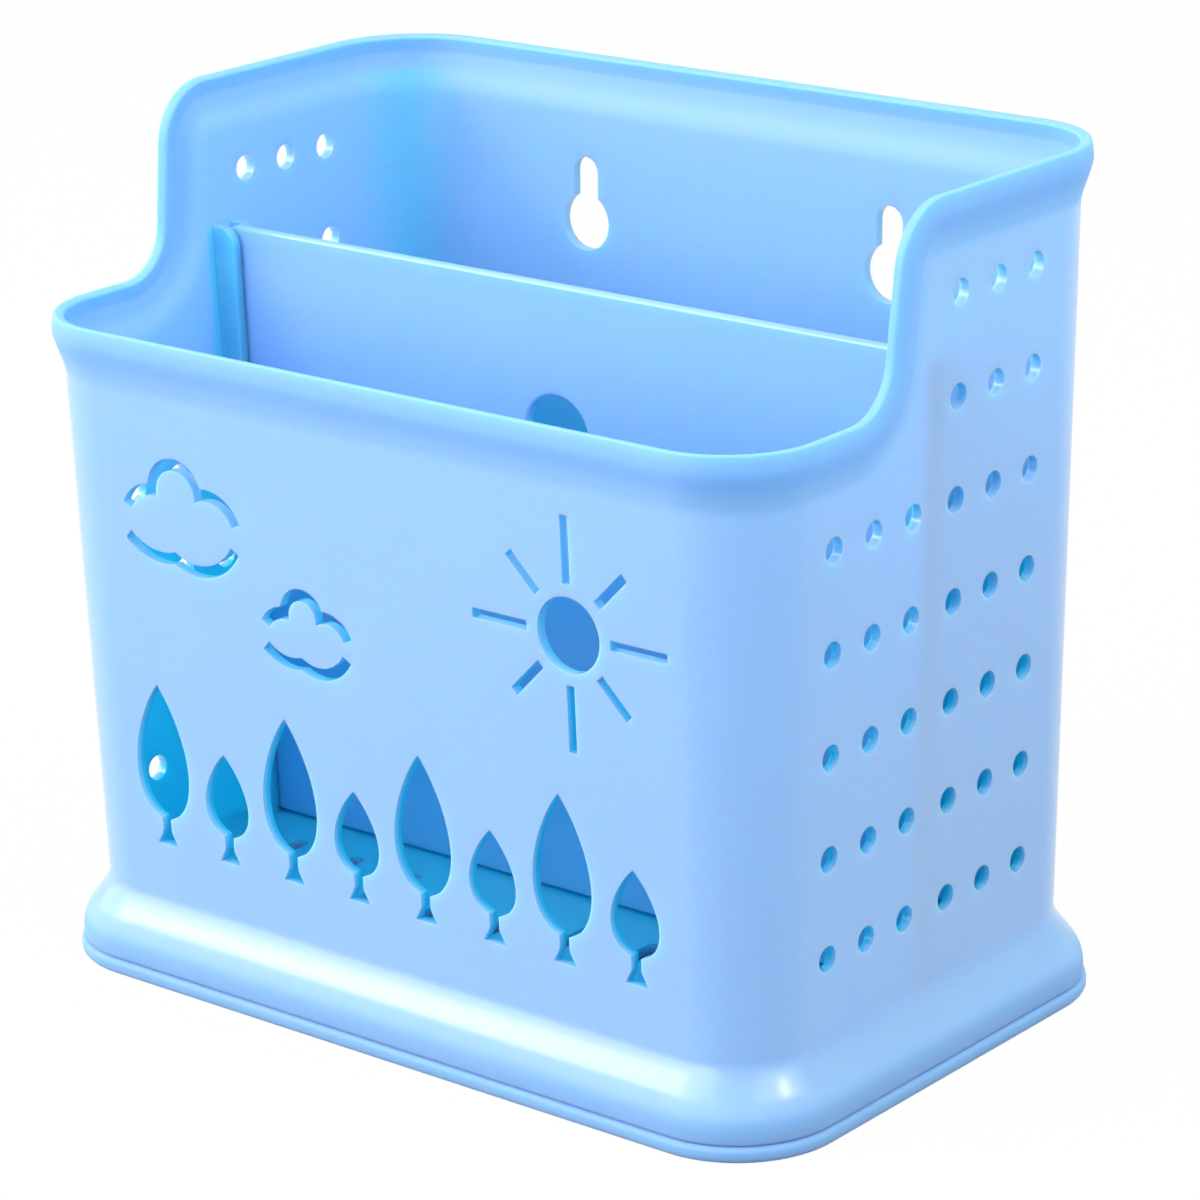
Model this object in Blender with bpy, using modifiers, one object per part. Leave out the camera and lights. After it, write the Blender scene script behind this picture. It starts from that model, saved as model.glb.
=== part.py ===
"""Chopstick holder: a drained plastic box with a lift-out divider and a drip tray under it.

The holder body stands on Z = 0 with its width along X and its front towards -Y.
All sizes are in metres.  Values whose names end in share or shares are ratios.
"""

import math

import bmesh
import bpy
from mathutils import Matrix, Vector

# Holder body: a drafted box with rounded corners, measured at the crease above the skirt
BODY_WIDTH = 0.1432
BODY_DEPTH = 0.0891
CORNER_RADIUS = 0.0125
WALL = 0.0018
FLOOR_THICKNESS = 0.0018
DRAFT_SHARE = 0.0272
CREASE_HEIGHT = 0.0129
FRONT_HEIGHT = 0.1114
BACK_HEIGHT = 0.1423

# Rim: the wall flares out along its top edge and steps up from front to back in an S
RIM_FLARE = 0.0017
RIM_BAND = 0.0090
LIP_ROUND = 0.0005
LIP_SHARE = 0.40
RIM_CURVE_SHARE = 1.5
STEP_SETBACK = 0.0303
STEP_LEAN = math.radians(7)
STEP_LOW_RADIUS = 0.0085
STEP_HIGH_EASE = 0.0018
RIM_ROW_SHARES = (0.0, 0.2, 0.4, 0.6, 0.8, 1.0)
EDGE_ROUND_SHARE = 0.38

# Skirt: bell shape below the crease, open underneath, with the tray's flange below it
SKIRT_FLARE = 0.0050
SKIRT_CURVE_SHARE = 1.5
SKIRT_ROWS = 6
SKIRT_LIP = 0.0008
FLANGE_THICKNESS = 0.0025
SEAT_GAP = 0.0003

# Drip tray: flange, upstand that plugs into the skirt, and a shallow basin
FLANGE_LIP = 0.0005
TRAY_WALL = 0.0016
TRAY_FLOOR = 0.0016
TRAY_CLEARANCE = 0.0004
TRAY_EDGE_ROUND = 0.0009

# Divider between the front and the rear compartment, and the ribs that guide it
DIVIDER_THICKNESS = 0.0020
DIVIDER_OFFSET = -0.0007
DIVIDER_HEIGHT = 0.1173
DIVIDER_CLEARANCE = 0.0003
DIVIDER_CORNER_RADIUS = 0.0030
DIVIDER_EDGE_ROUND = 0.0005
FINGER_HOLE_DIAMETER = 0.0130
FINGER_HOLE_DROP = 0.0250
FINGER_HOLE_SIDES = 32
RIB_THICKNESS = 0.0018
RIB_REACH = 0.0045
RIB_TOP_RADIUS = 0.0035

# Drain holes through both side walls, in rows and in columns on each side of the divider
HOLE_DIAMETER = 0.0043
HOLE_PITCH = 0.0100
HOLE_ROW_PITCH = 0.0164
HOLE_FIRST_ROW = 0.0144
HOLE_DIVIDER_GAP = 0.00554
HOLE_RIM_MARGIN = 0.0120
HOLE_SIDES = 12

# Drain slots through the floor
SLOT_WIDTH = 0.0030
SLOT_LENGTH = 0.0240
SLOT_PITCH = 0.0130
SLOT_END_STEPS = 4

# Keyholes in the back wall, narrow slot up and round opening down
KEYHOLE_SPREAD = 0.0638
KEYHOLE_DROP = 0.0286
KEYHOLE_RADIUS = 0.0050
KEYHOLE_SLOT_WIDTH = 0.0053
KEYHOLE_SLOT_RISE = 0.0113
KEYHOLE_STEPS = 14

# Row of trees cut through the front wall
TREE_COUNT = 8
TREE_PITCH = 0.0142
TREE_BASE_RISE = 0.0109
TREE_TALL_HEIGHT = 0.0283
TREE_SHORT_HEIGHT = 0.0190
TREE_TALL_WIDTH = 0.0118
TREE_SHORT_WIDTH = 0.0096
TRUNK_HEIGHT = 0.0046
TRUNK_NECK_WIDTH = 0.0020
TRUNK_FOOT_WIDTH = 0.0046
LEAF_STEPS = 7
LEAF_BASE_SHARE = 0.5
LEAF_TIP_SHARE = 0.9
LEAF_SPACING_SHARE = 1.5

# Sun cut through the front wall, a disc and eight rays
SUN_X = 0.0390
SUN_RISE = 0.0655
SUN_RADIUS = 0.0061
SUN_SIDES = 24
RAY_COUNT = 8
RAY_WIDTH = 0.0016
RAY_START = 0.0081
RAY_LONG_END = 0.0190
RAY_SHORT_END = 0.0159

# Two clouds, each drawn with an upper and a lower open stroke
CLOUD_STROKE = 0.0020
BIG_CLOUD_WIDTH = 0.0250
BIG_CLOUD_X = -0.0410
BIG_CLOUD_RISE = 0.0697
SMALL_CLOUD_WIDTH = 0.0183
SMALL_CLOUD_X = -0.0150
SMALL_CLOUD_RISE = 0.0550
CLOUD_TOP_SHARES = ((-0.251, -0.137, 0.273), (-0.049, 0.131, 0.208), (0.224, -0.093, 0.273))
CLOUD_BASE_SHARES = ((-0.208, -0.109, 0.426), (0.109, -0.049, 0.399))
CLOUD_TOP_ANGLES = (math.radians(151), math.radians(24))
CLOUD_BASE_ANGLES = (math.radians(133), math.radians(31))
ARC_STEP = math.radians(24)

# Shared by all pieces
CORNER_STEPS = 8
STEP_STEPS = 6
CUT_OVERRUN = 0.0100
MERGE = 0.00001

GLOSS_ROUGHNESS = 0.28
HOLDER_COLOUR = (0.34, 0.62, 1.0, 1.0)
DIVIDER_COLOUR = (0.36, 0.64, 1.0, 1.0)
TRAY_COLOUR = (0.33, 0.60, 0.98, 1.0)

SKIRT_BOTTOM = FLANGE_THICKNESS + SEAT_GAP
FLOOR_TOP = CREASE_HEIGHT
FLOOR_BOTTOM = FLOOR_TOP - FLOOR_THICKNESS
HALF_WIDTH = BODY_WIDTH / 2
HALF_DEPTH = BODY_DEPTH / 2
STEP_HIGH_RADIUS = RIM_BAND + STEP_HIGH_EASE


def new_collection(name):
    collection = bpy.data.collections.new(name)
    bpy.context.scene.collection.children.link(collection)
    return collection


def plastic(name, colour):
    """Glossy dyed polypropylene."""
    material = bpy.data.materials.new(name)
    material.use_nodes = True
    shader = material.node_tree.nodes["Principled BSDF"]
    shader.inputs["Base Color"].default_value = colour
    shader.inputs["Roughness"].default_value = GLOSS_ROUGHNESS
    shader.inputs["Metallic"].default_value = 0.0
    material.diffuse_color = colour
    return material


def add_object(name, mesh, collection):
    item = bpy.data.objects.new(name, mesh)
    collection.objects.link(item)
    return item


def mesh_from_bmesh(name, shape):
    bmesh.ops.recalc_face_normals(shape, faces=shape.faces)
    mesh = bpy.data.meshes.new(name)
    shape.to_mesh(mesh)
    shape.free()
    return mesh


def extruded(name, outlines, start, end, axes, collection):
    """Flat outlines as a filled 2D curve, extruded from start to end along their normal.

    axes is the rotation that carries the curve's XY plane to the outlines' plane.
    """
    curve = bpy.data.curves.new(name, "CURVE")
    curve.dimensions = "2D"
    curve.fill_mode = "BOTH"
    curve.extrude = abs(end - start) / 2
    for outline in outlines:
        spline = curve.splines.new("POLY")
        spline.points.add(len(outline) - 1)
        for point, (across, up) in zip(spline.points, outline):
            point.co = (across, up, 0, 1)
        spline.use_cyclic_u = True
    drawn = add_object(name + "_outline", curve, collection)
    middle = axes @ Vector((0, 0, (start + end) / 2))
    drawn.matrix_world = Matrix.Translation(middle) @ axes.to_4x4()
    bpy.context.view_layer.update()
    graph = bpy.context.evaluated_depsgraph_get()
    mesh = bpy.data.meshes.new_from_object(drawn.evaluated_get(graph))
    shape = bmesh.new()
    shape.from_mesh(mesh)
    bpy.data.meshes.remove(mesh)
    bmesh.ops.remove_doubles(shape, verts=shape.verts, dist=MERGE)
    bmesh.ops.transform(shape, matrix=drawn.matrix_world, verts=shape.verts)
    bpy.data.objects.remove(drawn)
    bpy.data.curves.remove(curve)
    return add_object(name, mesh_from_bmesh(name, shape), collection)


FLAT = Matrix.Identity(3)
UPRIGHT = Matrix.Rotation(math.radians(90), 3, "X")


def as_cutter(item):
    item.hide_render = True
    item.display_type = "WIRE"
    return item


def boolean(item, other, operation):
    step = item.modifiers.new(other.name, "BOOLEAN")
    step.operation = operation
    step.solver = "EXACT"
    step.object = other
    as_cutter(other)


def rounded_edges(item, width, angle=math.radians(60)):
    bevel = item.modifiers.new("edge_rounding", "BEVEL")
    bevel.width = width
    bevel.segments = 2
    bevel.limit_method = "ANGLE"
    bevel.angle_limit = angle


def smooth(item):
    item.data.shade_smooth()
    item.data.set_sharp_from_angle(angle=math.radians(32))


def draft_at(height):
    """How far the walls have moved out at a height above the crease."""
    return DRAFT_SHARE * (height - CREASE_HEIGHT)


def rounded_rectangle(half_width, half_depth, radius, steps=CORNER_STEPS):
    """Corner points of a rectangle with round corners, anticlockwise from the right front."""
    points = []
    for corner, (side, end) in enumerate(((1, -1), (1, 1), (-1, 1), (-1, -1))):
        centre = Vector((side * (half_width - radius), end * (half_depth - radius)))
        start = math.radians(90 * (corner - 1))
        for step in range(steps + 1):
            angle = start + math.radians(90) * step / steps
            points.append(centre + radius * Vector((math.cos(angle), math.sin(angle))))
    return points


def body_outline(offset):
    """The body's outline at the crease, moved outward by offset."""
    return rounded_rectangle(HALF_WIDTH + offset, HALF_DEPTH + offset, CORNER_RADIUS + offset)


def corner_stations(side_end, first_angle):
    """Base points and outward normals around one right-hand corner."""
    centre = Vector((HALF_WIDTH - CORNER_RADIUS, side_end * (HALF_DEPTH - CORNER_RADIUS)))
    stations = []
    for step in range(CORNER_STEPS + 1):
        angle = first_angle + math.radians(90) * step / CORNER_STEPS
        normal = Vector((math.cos(angle), math.sin(angle)))
        stations.append((centre + CORNER_RADIUS * normal, normal))
    return stations


def step_row(drop):
    """Side view (y, z) of the S step in the rim, followed at a distance drop inside it.

    Two arcs meet on a straight run that leans back from the upright by STEP_LEAN, or
    further where the step is lower than the two arcs, which then meet with no run.
    """
    reach = STEP_LOW_RADIUS + STEP_HIGH_RADIUS
    missing = 1 - (BACK_HEIGHT - FRONT_HEIGHT) / reach
    lean = max(STEP_LEAN, math.asin(max(0.0, missing)))
    low = Vector((STEP_SETBACK - HALF_DEPTH - STEP_LOW_RADIUS, FRONT_HEIGHT + STEP_LOW_RADIUS))
    rise = BACK_HEIGHT - STEP_HIGH_RADIUS - low.y
    run = (rise + reach * math.sin(lean)) / math.cos(lean)
    high = low + Vector((reach * math.cos(lean) + run * math.sin(lean), rise))
    row = []
    for step in range(STEP_STEPS + 1):
        angle = -math.pi / 2 + (math.pi / 2 - lean) * step / STEP_STEPS
        row.append(low + (STEP_LOW_RADIUS + drop) * Vector((math.cos(angle), math.sin(angle))))
    for step in range(STEP_STEPS + 1):
        angle = math.pi - lean - (math.pi / 2 - lean) * step / STEP_STEPS
        row.append(high + (STEP_HIGH_RADIUS - drop) * Vector((math.cos(angle), math.sin(angle))))
    return row


def rim_offset(share):
    """Outward flare of the rim, from its edge (share 0) down to the band's foot (share 1)."""
    if share < LIP_SHARE:
        return RIM_FLARE - LIP_ROUND * (1 - share / LIP_SHARE) ** 2
    return RIM_FLARE * (1 - ((share - LIP_SHARE) / (1 - LIP_SHARE)) ** RIM_CURVE_SHARE)


def rim_ring(share):
    """Points of the right half of the wall at one distance inside the rim's edge."""
    drop = share * RIM_BAND
    flare = rim_offset(share)
    front, back = FRONT_HEIGHT - drop, BACK_HEIGHT - drop
    low = draft_at(front) + flare
    tall = draft_at(back) + flare
    ring = [Vector((0, -HALF_DEPTH - low, front))]
    for base, normal in corner_stations(-1, math.radians(-90)):
        ring.append((base + normal * low).to_3d() + Vector((0, 0, front)))
    for y, z in step_row(drop):
        ring.append(Vector((HALF_WIDTH + draft_at(z) + flare, y, z)))
    for base, normal in corner_stations(1, 0.0):
        ring.append((base + normal * tall).to_3d() + Vector((0, 0, back)))
    ring.append(Vector((0, HALF_DEPTH + tall, back)))
    return ring


def level_ring(height, offset):
    """Points of the right half of the wall at one height, without the step's points."""
    ring = [Vector((0, -HALF_DEPTH - offset, height))]
    for base, normal in corner_stations(-1, math.radians(-90)) + corner_stations(1, 0.0):
        ring.append((base + normal * offset).to_3d() + Vector((0, 0, height)))
    ring.append(Vector((0, HALF_DEPTH + offset, height)))
    return ring


def skirt_rings():
    """Level rings down the skirt: a hollow under the crease, a bell and an upright lip."""
    rings = []
    for row in range(SKIRT_ROWS + 1):
        share = row / SKIRT_ROWS
        height = CREASE_HEIGHT + (SKIRT_BOTTOM + SKIRT_LIP - CREASE_HEIGHT) * share
        swell = 1 - (1 - share ** SKIRT_CURVE_SHARE) ** SKIRT_CURVE_SHARE
        rings.append(level_ring(height, SKIRT_FLARE * swell))
    return rings + [level_ring(SKIRT_BOTTOM, SKIRT_FLARE)]


def wall_surface():
    """Right half of the body's outer face, from the rim down to the skirt's open bottom."""
    shape = bmesh.new()
    rows = [[shape.verts.new(point) for point in rim_ring(share)] for share in RIM_ROW_SHARES]
    levels = [[shape.verts.new(point) for point in ring] for ring in skirt_rings()]

    def strip(upper, lower):
        for left in range(len(upper) - 1):
            shape.faces.new((upper[left], lower[left], lower[left + 1], upper[left + 1]))

    for rings in (rows, levels):
        for upper, lower in zip(rings, rings[1:]):
            strip(upper, lower)
    foot, crease = rows[-1], levels[0]
    front = CORNER_STEPS + 2
    strip(foot[:front], crease[:front])
    strip(foot[-front:], crease[-front:])
    side = foot[front - 1:len(foot) - front + 1]
    shape.faces.new([crease[front - 1], crease[front]] + side[::-1])
    bmesh.ops.remove_doubles(shape, verts=shape.verts, dist=MERGE)
    return shape


def drain_hole_places():
    """Side-view places (y, z) of the drain holes beside the divider."""
    reach = HALF_DEPTH - CORNER_RADIUS - HOLE_DIAMETER / 2 - HOLE_DIVIDER_GAP
    columns = 1 + int(reach / HOLE_PITCH)
    places = []
    for side, top in ((-1, FRONT_HEIGHT), (1, BACK_HEIGHT)):
        rise = top - HOLE_RIM_MARGIN - CREASE_HEIGHT - HOLE_FIRST_ROW
        rows = 1 + int(rise / HOLE_ROW_PITCH)
        for column in range(columns):
            y = DIVIDER_OFFSET + side * (HOLE_DIVIDER_GAP + column * HOLE_PITCH)
            for row in range(rows):
                places.append((y, CREASE_HEIGHT + HOLE_FIRST_ROW + row * HOLE_ROW_PITCH))
    return places


def drain_hole_cutter(collection):
    """Long pins along X, one for each pair of facing holes."""
    shape = bmesh.new()
    length = BODY_WIDTH + 2 * draft_at(BACK_HEIGHT) + 2 * CUT_OVERRUN
    turn = Matrix.Rotation(math.radians(90), 4, "Y")
    for y, z in drain_hole_places():
        bmesh.ops.create_cone(
            shape, cap_ends=True, segments=HOLE_SIDES,
            radius1=HOLE_DIAMETER / 2, radius2=HOLE_DIAMETER / 2, depth=length,
            matrix=Matrix.Translation((0, y, z)) @ turn)
    return add_object("drain_hole_pins", mesh_from_bmesh("drain_hole_pins", shape), collection)


def slot_outline(x, y, length, width):
    """A slot along Y with round ends."""
    outline = []
    for end in (-1, 1):
        centre = Vector((x, y + end * (length - width) / 2))
        for step in range(SLOT_END_STEPS + 1):
            angle = math.radians(90 * (end - 1) + 180 * step / SLOT_END_STEPS)
            outline.append(centre + width / 2 * Vector((math.cos(angle), math.sin(angle))))
    return outline


def floor_slots():
    """One row of drain slots in each compartment."""
    inner_width = BODY_WIDTH - 2 * WALL - 2 * CORNER_RADIUS
    count = 1 + 2 * int(inner_width / 2 / SLOT_PITCH)
    inner = HALF_DEPTH - WALL
    outlines = []
    for side in (-1, 1):
        y = (DIVIDER_OFFSET + side * inner) / 2
        for column in range(count):
            x = (column - (count - 1) / 2) * SLOT_PITCH
            outlines.append(slot_outline(x, y, SLOT_LENGTH, SLOT_WIDTH))
    return outlines


def keyhole_outline(x):
    """Round opening with a narrow slot that rises from it."""
    z = BACK_HEIGHT - KEYHOLE_DROP
    half = KEYHOLE_SLOT_WIDTH / 2
    neck = math.asin(half / KEYHOLE_RADIUS)
    sweep = 2 * math.pi - 2 * neck
    outline = []
    for step in range(KEYHOLE_STEPS + 1):
        angle = math.pi / 2 + neck + sweep * step / KEYHOLE_STEPS
        outline.append((x + KEYHOLE_RADIUS * math.cos(angle), z + KEYHOLE_RADIUS * math.sin(angle)))
    for step in range(SLOT_END_STEPS + 1):
        angle = math.pi * step / SLOT_END_STEPS
        rise = KEYHOLE_SLOT_RISE - half
        outline.append((x + half * math.cos(angle), z + rise + half * math.sin(angle)))
    return outline


def tree_outline(x, height, width):
    """Pointed leaf shape on a trunk that widens towards its foot."""
    foot = CREASE_HEIGHT + TREE_BASE_RISE
    crown = height - TRUNK_HEIGHT
    peak = LEAF_BASE_SHARE / (LEAF_BASE_SHARE + LEAF_TIP_SHARE)
    largest = peak ** LEAF_BASE_SHARE * (1 - peak) ** LEAF_TIP_SHARE
    half = [(TRUNK_FOOT_WIDTH / 2, foot), (TRUNK_NECK_WIDTH / 2, foot + TRUNK_HEIGHT / 2),
            (TRUNK_NECK_WIDTH / 2, foot + TRUNK_HEIGHT)]
    for step in range(1, LEAF_STEPS):
        share = (step / LEAF_STEPS) ** LEAF_SPACING_SHARE
        bulge = share ** LEAF_BASE_SHARE * (1 - share) ** LEAF_TIP_SHARE / largest
        half.append((width / 2 * bulge, foot + TRUNK_HEIGHT + crown * share))
    right = [(x + across, up) for across, up in half]
    left = [(x - across, up) for across, up in reversed(half)]
    return right + [(x, foot + height)] + left


def tree_outlines():
    outlines = []
    for index in range(TREE_COUNT):
        x = (index - (TREE_COUNT - 1) / 2) * TREE_PITCH
        if index % 2:
            outlines.append(tree_outline(x, TREE_SHORT_HEIGHT, TREE_SHORT_WIDTH))
        else:
            outlines.append(tree_outline(x, TREE_TALL_HEIGHT, TREE_TALL_WIDTH))
    return outlines


def sun_outlines():
    """A disc and rays by turns long and short around it."""
    centre = Vector((SUN_X, CREASE_HEIGHT + SUN_RISE))
    disc = []
    for step in range(SUN_SIDES):
        angle = 2 * math.pi * step / SUN_SIDES
        disc.append(centre + SUN_RADIUS * Vector((math.cos(angle), math.sin(angle))))
    outlines = [disc]
    for index in range(RAY_COUNT):
        angle = 2 * math.pi * index / RAY_COUNT
        along = Vector((math.cos(angle), math.sin(angle)))
        side = Vector((-along.y, along.x)) * RAY_WIDTH / 2
        reach = RAY_SHORT_END if index % 2 else RAY_LONG_END
        near, far = centre + along * RAY_START, centre + along * reach
        outlines.append([near - side, far - side, far + side, near + side])
    return outlines


def upper_meeting(first, second):
    """The upper point where two circles (centre, radius) cross, or the one between them."""
    (one, one_radius), (two, two_radius) = first, second
    between = two - one
    gap = between.length
    along = (gap * gap + one_radius ** 2 - two_radius ** 2) / (2 * gap)
    height = math.sqrt(max(0.0, one_radius ** 2 - along ** 2))
    return one + between / gap * along + Vector((-between.y, between.x)) / gap * height


def bearing(offset):
    """Angle of an offset, from straight down over the top and back to straight down."""
    angle = math.atan2(offset.y, offset.x)
    return angle + 2 * math.pi if angle < -math.pi / 2 else angle


def bump_path(bumps, angles):
    """Path over the tops of overlapping circles, from left to right."""
    joints = [upper_meeting(a, b) for a, b in zip(bumps, bumps[1:])]
    path = []
    for index, (centre, radius) in enumerate(bumps):
        start, end = angles
        if index > 0:
            start = bearing(joints[index - 1] - centre)
        if index < len(joints):
            end = bearing(joints[index] - centre)
        steps = max(2, round(abs(start - end) / ARC_STEP))
        for step in range(0 if index == 0 else 1, steps + 1):
            angle = start + (end - start) * step / steps
            path.append(centre + radius * Vector((math.cos(angle), math.sin(angle))))
    return path


def cloud_outlines(x, z, width):
    """Upper and lower stroke of a cloud, with a bridge left between them at each side."""
    outlines = []
    for shares, angles, flip in ((CLOUD_TOP_SHARES, CLOUD_TOP_ANGLES, 1),
                                 (CLOUD_BASE_SHARES, CLOUD_BASE_ANGLES, -1)):
        edges = []
        for side in (1, -1):
            bumps = [(Vector((across, up)) * width, radius * width + side * CLOUD_STROKE / 2)
                     for across, up, radius in shares]
            edges.append(bump_path(bumps, angles))
        loop = edges[0] + edges[1][::-1]
        outlines.append([(x + point.x, z + flip * point.y) for point in loop])
    return outlines


def rib_outline(side):
    """Front view of a guide rib, from inside the wall to its free edge, with a round top."""
    top = DIVIDER_HEIGHT
    root_low = HALF_WIDTH - WALL / 2
    root_top = root_low + draft_at(top)
    reach = WALL / 2 + RIB_REACH
    outline = [(side * root_low, FLOOR_TOP - FLOOR_THICKNESS / 2),
               (side * (root_low - reach), FLOOR_TOP - FLOOR_THICKNESS / 2)]
    centre = Vector((root_top - reach + RIB_TOP_RADIUS, top - RIB_TOP_RADIUS))
    for step in range(STEP_STEPS + 1):
        angle = math.radians(180 - 90 * step / STEP_STEPS)
        point = centre + RIB_TOP_RADIUS * Vector((math.cos(angle), math.sin(angle)))
        outline.append((side * point.x, point.y))
    outline.append((side * root_top, top))
    return outline


def guide_ribs(collection):
    """A pair of ribs on each side wall, one before and one behind the divider."""
    ribs = []
    near = DIVIDER_THICKNESS / 2 + DIVIDER_CLEARANCE
    for name, place in (("front", -near - RIB_THICKNESS), ("rear", near)):
        start = -(DIVIDER_OFFSET + place)
        ribs.append(extruded(
            name + "_guide_ribs", [rib_outline(1), rib_outline(-1)],
            start, start - RIB_THICKNESS, UPRIGHT, collection))
    return ribs


def holder_body(parts, cutters):
    """The moulded box with its rim, skirt, floor, guide ribs and all its openings."""
    body = add_object("holder_body", mesh_from_bmesh("holder_body", wall_surface()), parts)
    mirror = body.modifiers.new("mirror", "MIRROR")
    mirror.merge_threshold = MERGE
    shell = body.modifiers.new("wall", "SOLIDIFY")
    shell.thickness = WALL
    shell.offset = -1
    shell.use_even_offset = True
    rounded_edges(body, WALL * EDGE_ROUND_SHARE)
    plate = extruded("floor_plate", [body_outline(-WALL / 2)], FLOOR_BOTTOM, FLOOR_TOP,
                     FLAT, cutters)
    boolean(body, plate, "UNION")
    for rib in guide_ribs(cutters):
        boolean(body, rib, "UNION")
    boolean(body, drain_hole_cutter(cutters), "DIFFERENCE")
    slots = extruded("floor_slots", floor_slots(), FLOOR_BOTTOM - FLOOR_THICKNESS,
                     FLOOR_TOP + FLOOR_THICKNESS, FLAT, cutters)
    boolean(body, slots, "DIFFERENCE")
    inner, outer = HALF_DEPTH - CUT_OVERRUN, HALF_DEPTH + CUT_OVERRUN
    picture = tree_outlines() + sun_outlines()
    picture += cloud_outlines(BIG_CLOUD_X, CREASE_HEIGHT + BIG_CLOUD_RISE, BIG_CLOUD_WIDTH)
    picture += cloud_outlines(SMALL_CLOUD_X, CREASE_HEIGHT + SMALL_CLOUD_RISE,
                              SMALL_CLOUD_WIDTH)
    boolean(body, extruded("front_picture", picture, inner, outer, UPRIGHT, cutters),
            "DIFFERENCE")
    holes = [keyhole_outline(side * KEYHOLE_SPREAD / 2) for side in (-1, 1)]
    boolean(body, extruded("keyholes", holes, -inner, -outer, UPRIGHT, cutters), "DIFFERENCE")
    smooth(body)
    body.data.materials.append(plastic("holder_plastic", HOLDER_COLOUR))
    return body


def divider_outline():
    """Front view of the divider: it widens with the draft of the walls beside it."""
    low = HALF_WIDTH - WALL - DIVIDER_CLEARANCE
    bottom = FLOOR_TOP + DIVIDER_CLEARANCE
    foot = low + draft_at(bottom)
    head = low + draft_at(DIVIDER_HEIGHT)
    radius = DIVIDER_CORNER_RADIUS
    right = [(foot, bottom)]
    centre = Vector((head - radius, DIVIDER_HEIGHT - radius))
    for step in range(STEP_STEPS + 1):
        angle = math.radians(90 * step / STEP_STEPS)
        right.append(tuple(centre + radius * Vector((math.cos(angle), math.sin(angle)))))
    return right + [(-x, z) for x, z in reversed(right)]


def divider(parts, cutters):
    """The lift-out plate between the two compartments, with a finger hole to pull it by."""
    half = DIVIDER_THICKNESS / 2
    plate = extruded("divider", [divider_outline()], -DIVIDER_OFFSET + half,
                     -DIVIDER_OFFSET - half, UPRIGHT, parts)
    origin = Vector((0, DIVIDER_OFFSET, FLOOR_TOP + DIVIDER_CLEARANCE))
    plate.data.transform(Matrix.Translation(-origin))
    plate.location = origin
    rounded_edges(plate, DIVIDER_EDGE_ROUND)
    shape = bmesh.new()
    bmesh.ops.create_cone(shape, cap_ends=True, segments=FINGER_HOLE_SIDES,
                          radius1=FINGER_HOLE_DIAMETER / 2, radius2=FINGER_HOLE_DIAMETER / 2,
                          depth=DIVIDER_THICKNESS + 2 * CUT_OVERRUN)
    pin = add_object("finger_hole", mesh_from_bmesh("finger_hole", shape), cutters)
    pin.rotation_euler.x = math.radians(90)
    pin.location = (0, DIVIDER_OFFSET, DIVIDER_HEIGHT - FINGER_HOLE_DROP)
    boolean(plate, pin, "DIFFERENCE")
    smooth(plate)
    plate.data.materials.append(plastic("divider_plastic", DIVIDER_COLOUR))
    return plate


def drip_tray(parts, cutters):
    """The basin that plugs into the skirt from below, with its flange under the skirt."""
    tray = extruded("drip_tray", [body_outline(SKIRT_FLARE + FLANGE_LIP)], 0,
                    FLANGE_THICKNESS, FLAT, parts)
    rounded_edges(tray, TRAY_EDGE_ROUND)
    plug = -WALL - TRAY_CLEARANCE
    rim = FLOOR_BOTTOM - SEAT_GAP
    upstand = extruded("tray_upstand", [body_outline(plug)], FLANGE_THICKNESS / 2, rim,
                       FLAT, cutters)
    basin = extruded("tray_basin", [body_outline(plug - TRAY_WALL)], TRAY_FLOOR,
                     rim + CUT_OVERRUN, FLAT, cutters)
    boolean(tray, upstand, "UNION")
    boolean(tray, basin, "DIFFERENCE")
    smooth(tray)
    tray.data.materials.append(plastic("tray_plastic", TRAY_COLOUR))
    return tray


def main():
    for item in list(bpy.data.objects):
        bpy.data.objects.remove(item)
    parts = new_collection("chopstick_holder")
    cutters = new_collection("cutters")
    cutters.hide_render = True
    holder_body(parts, cutters)
    divider(parts, cutters)
    drip_tray(parts, cutters)


main()
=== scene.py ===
"""Chopstick holder: the smooth moulded pieces, their plastic and the stage they stand on.

Lengths are in metres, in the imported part's own frame: width along X, front towards -Y,
standing on Z = 0.  Shares are ratios.
"""

import math

import bmesh
import bpy
from bpy.props import FloatProperty, FloatVectorProperty, IntProperty, PointerProperty
from mathutils import Matrix, Vector


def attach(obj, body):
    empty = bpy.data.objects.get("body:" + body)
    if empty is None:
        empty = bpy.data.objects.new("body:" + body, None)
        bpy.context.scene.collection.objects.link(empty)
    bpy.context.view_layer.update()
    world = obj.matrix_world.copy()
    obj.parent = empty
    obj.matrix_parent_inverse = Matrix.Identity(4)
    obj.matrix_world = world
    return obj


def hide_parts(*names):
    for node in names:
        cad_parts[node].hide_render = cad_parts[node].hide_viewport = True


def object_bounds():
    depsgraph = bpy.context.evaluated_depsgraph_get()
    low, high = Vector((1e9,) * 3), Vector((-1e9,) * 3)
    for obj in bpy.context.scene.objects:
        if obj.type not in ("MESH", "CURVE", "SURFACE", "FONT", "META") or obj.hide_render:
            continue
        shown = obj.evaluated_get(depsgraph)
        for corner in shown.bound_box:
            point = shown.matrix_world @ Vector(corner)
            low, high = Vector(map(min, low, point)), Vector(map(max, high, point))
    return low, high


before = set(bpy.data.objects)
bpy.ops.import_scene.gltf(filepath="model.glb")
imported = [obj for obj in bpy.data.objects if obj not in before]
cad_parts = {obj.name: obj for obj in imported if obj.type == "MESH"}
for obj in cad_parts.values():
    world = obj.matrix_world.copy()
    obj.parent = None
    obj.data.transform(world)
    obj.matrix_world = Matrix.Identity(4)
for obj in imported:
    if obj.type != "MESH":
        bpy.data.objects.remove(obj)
CAD_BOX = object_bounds()

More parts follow.
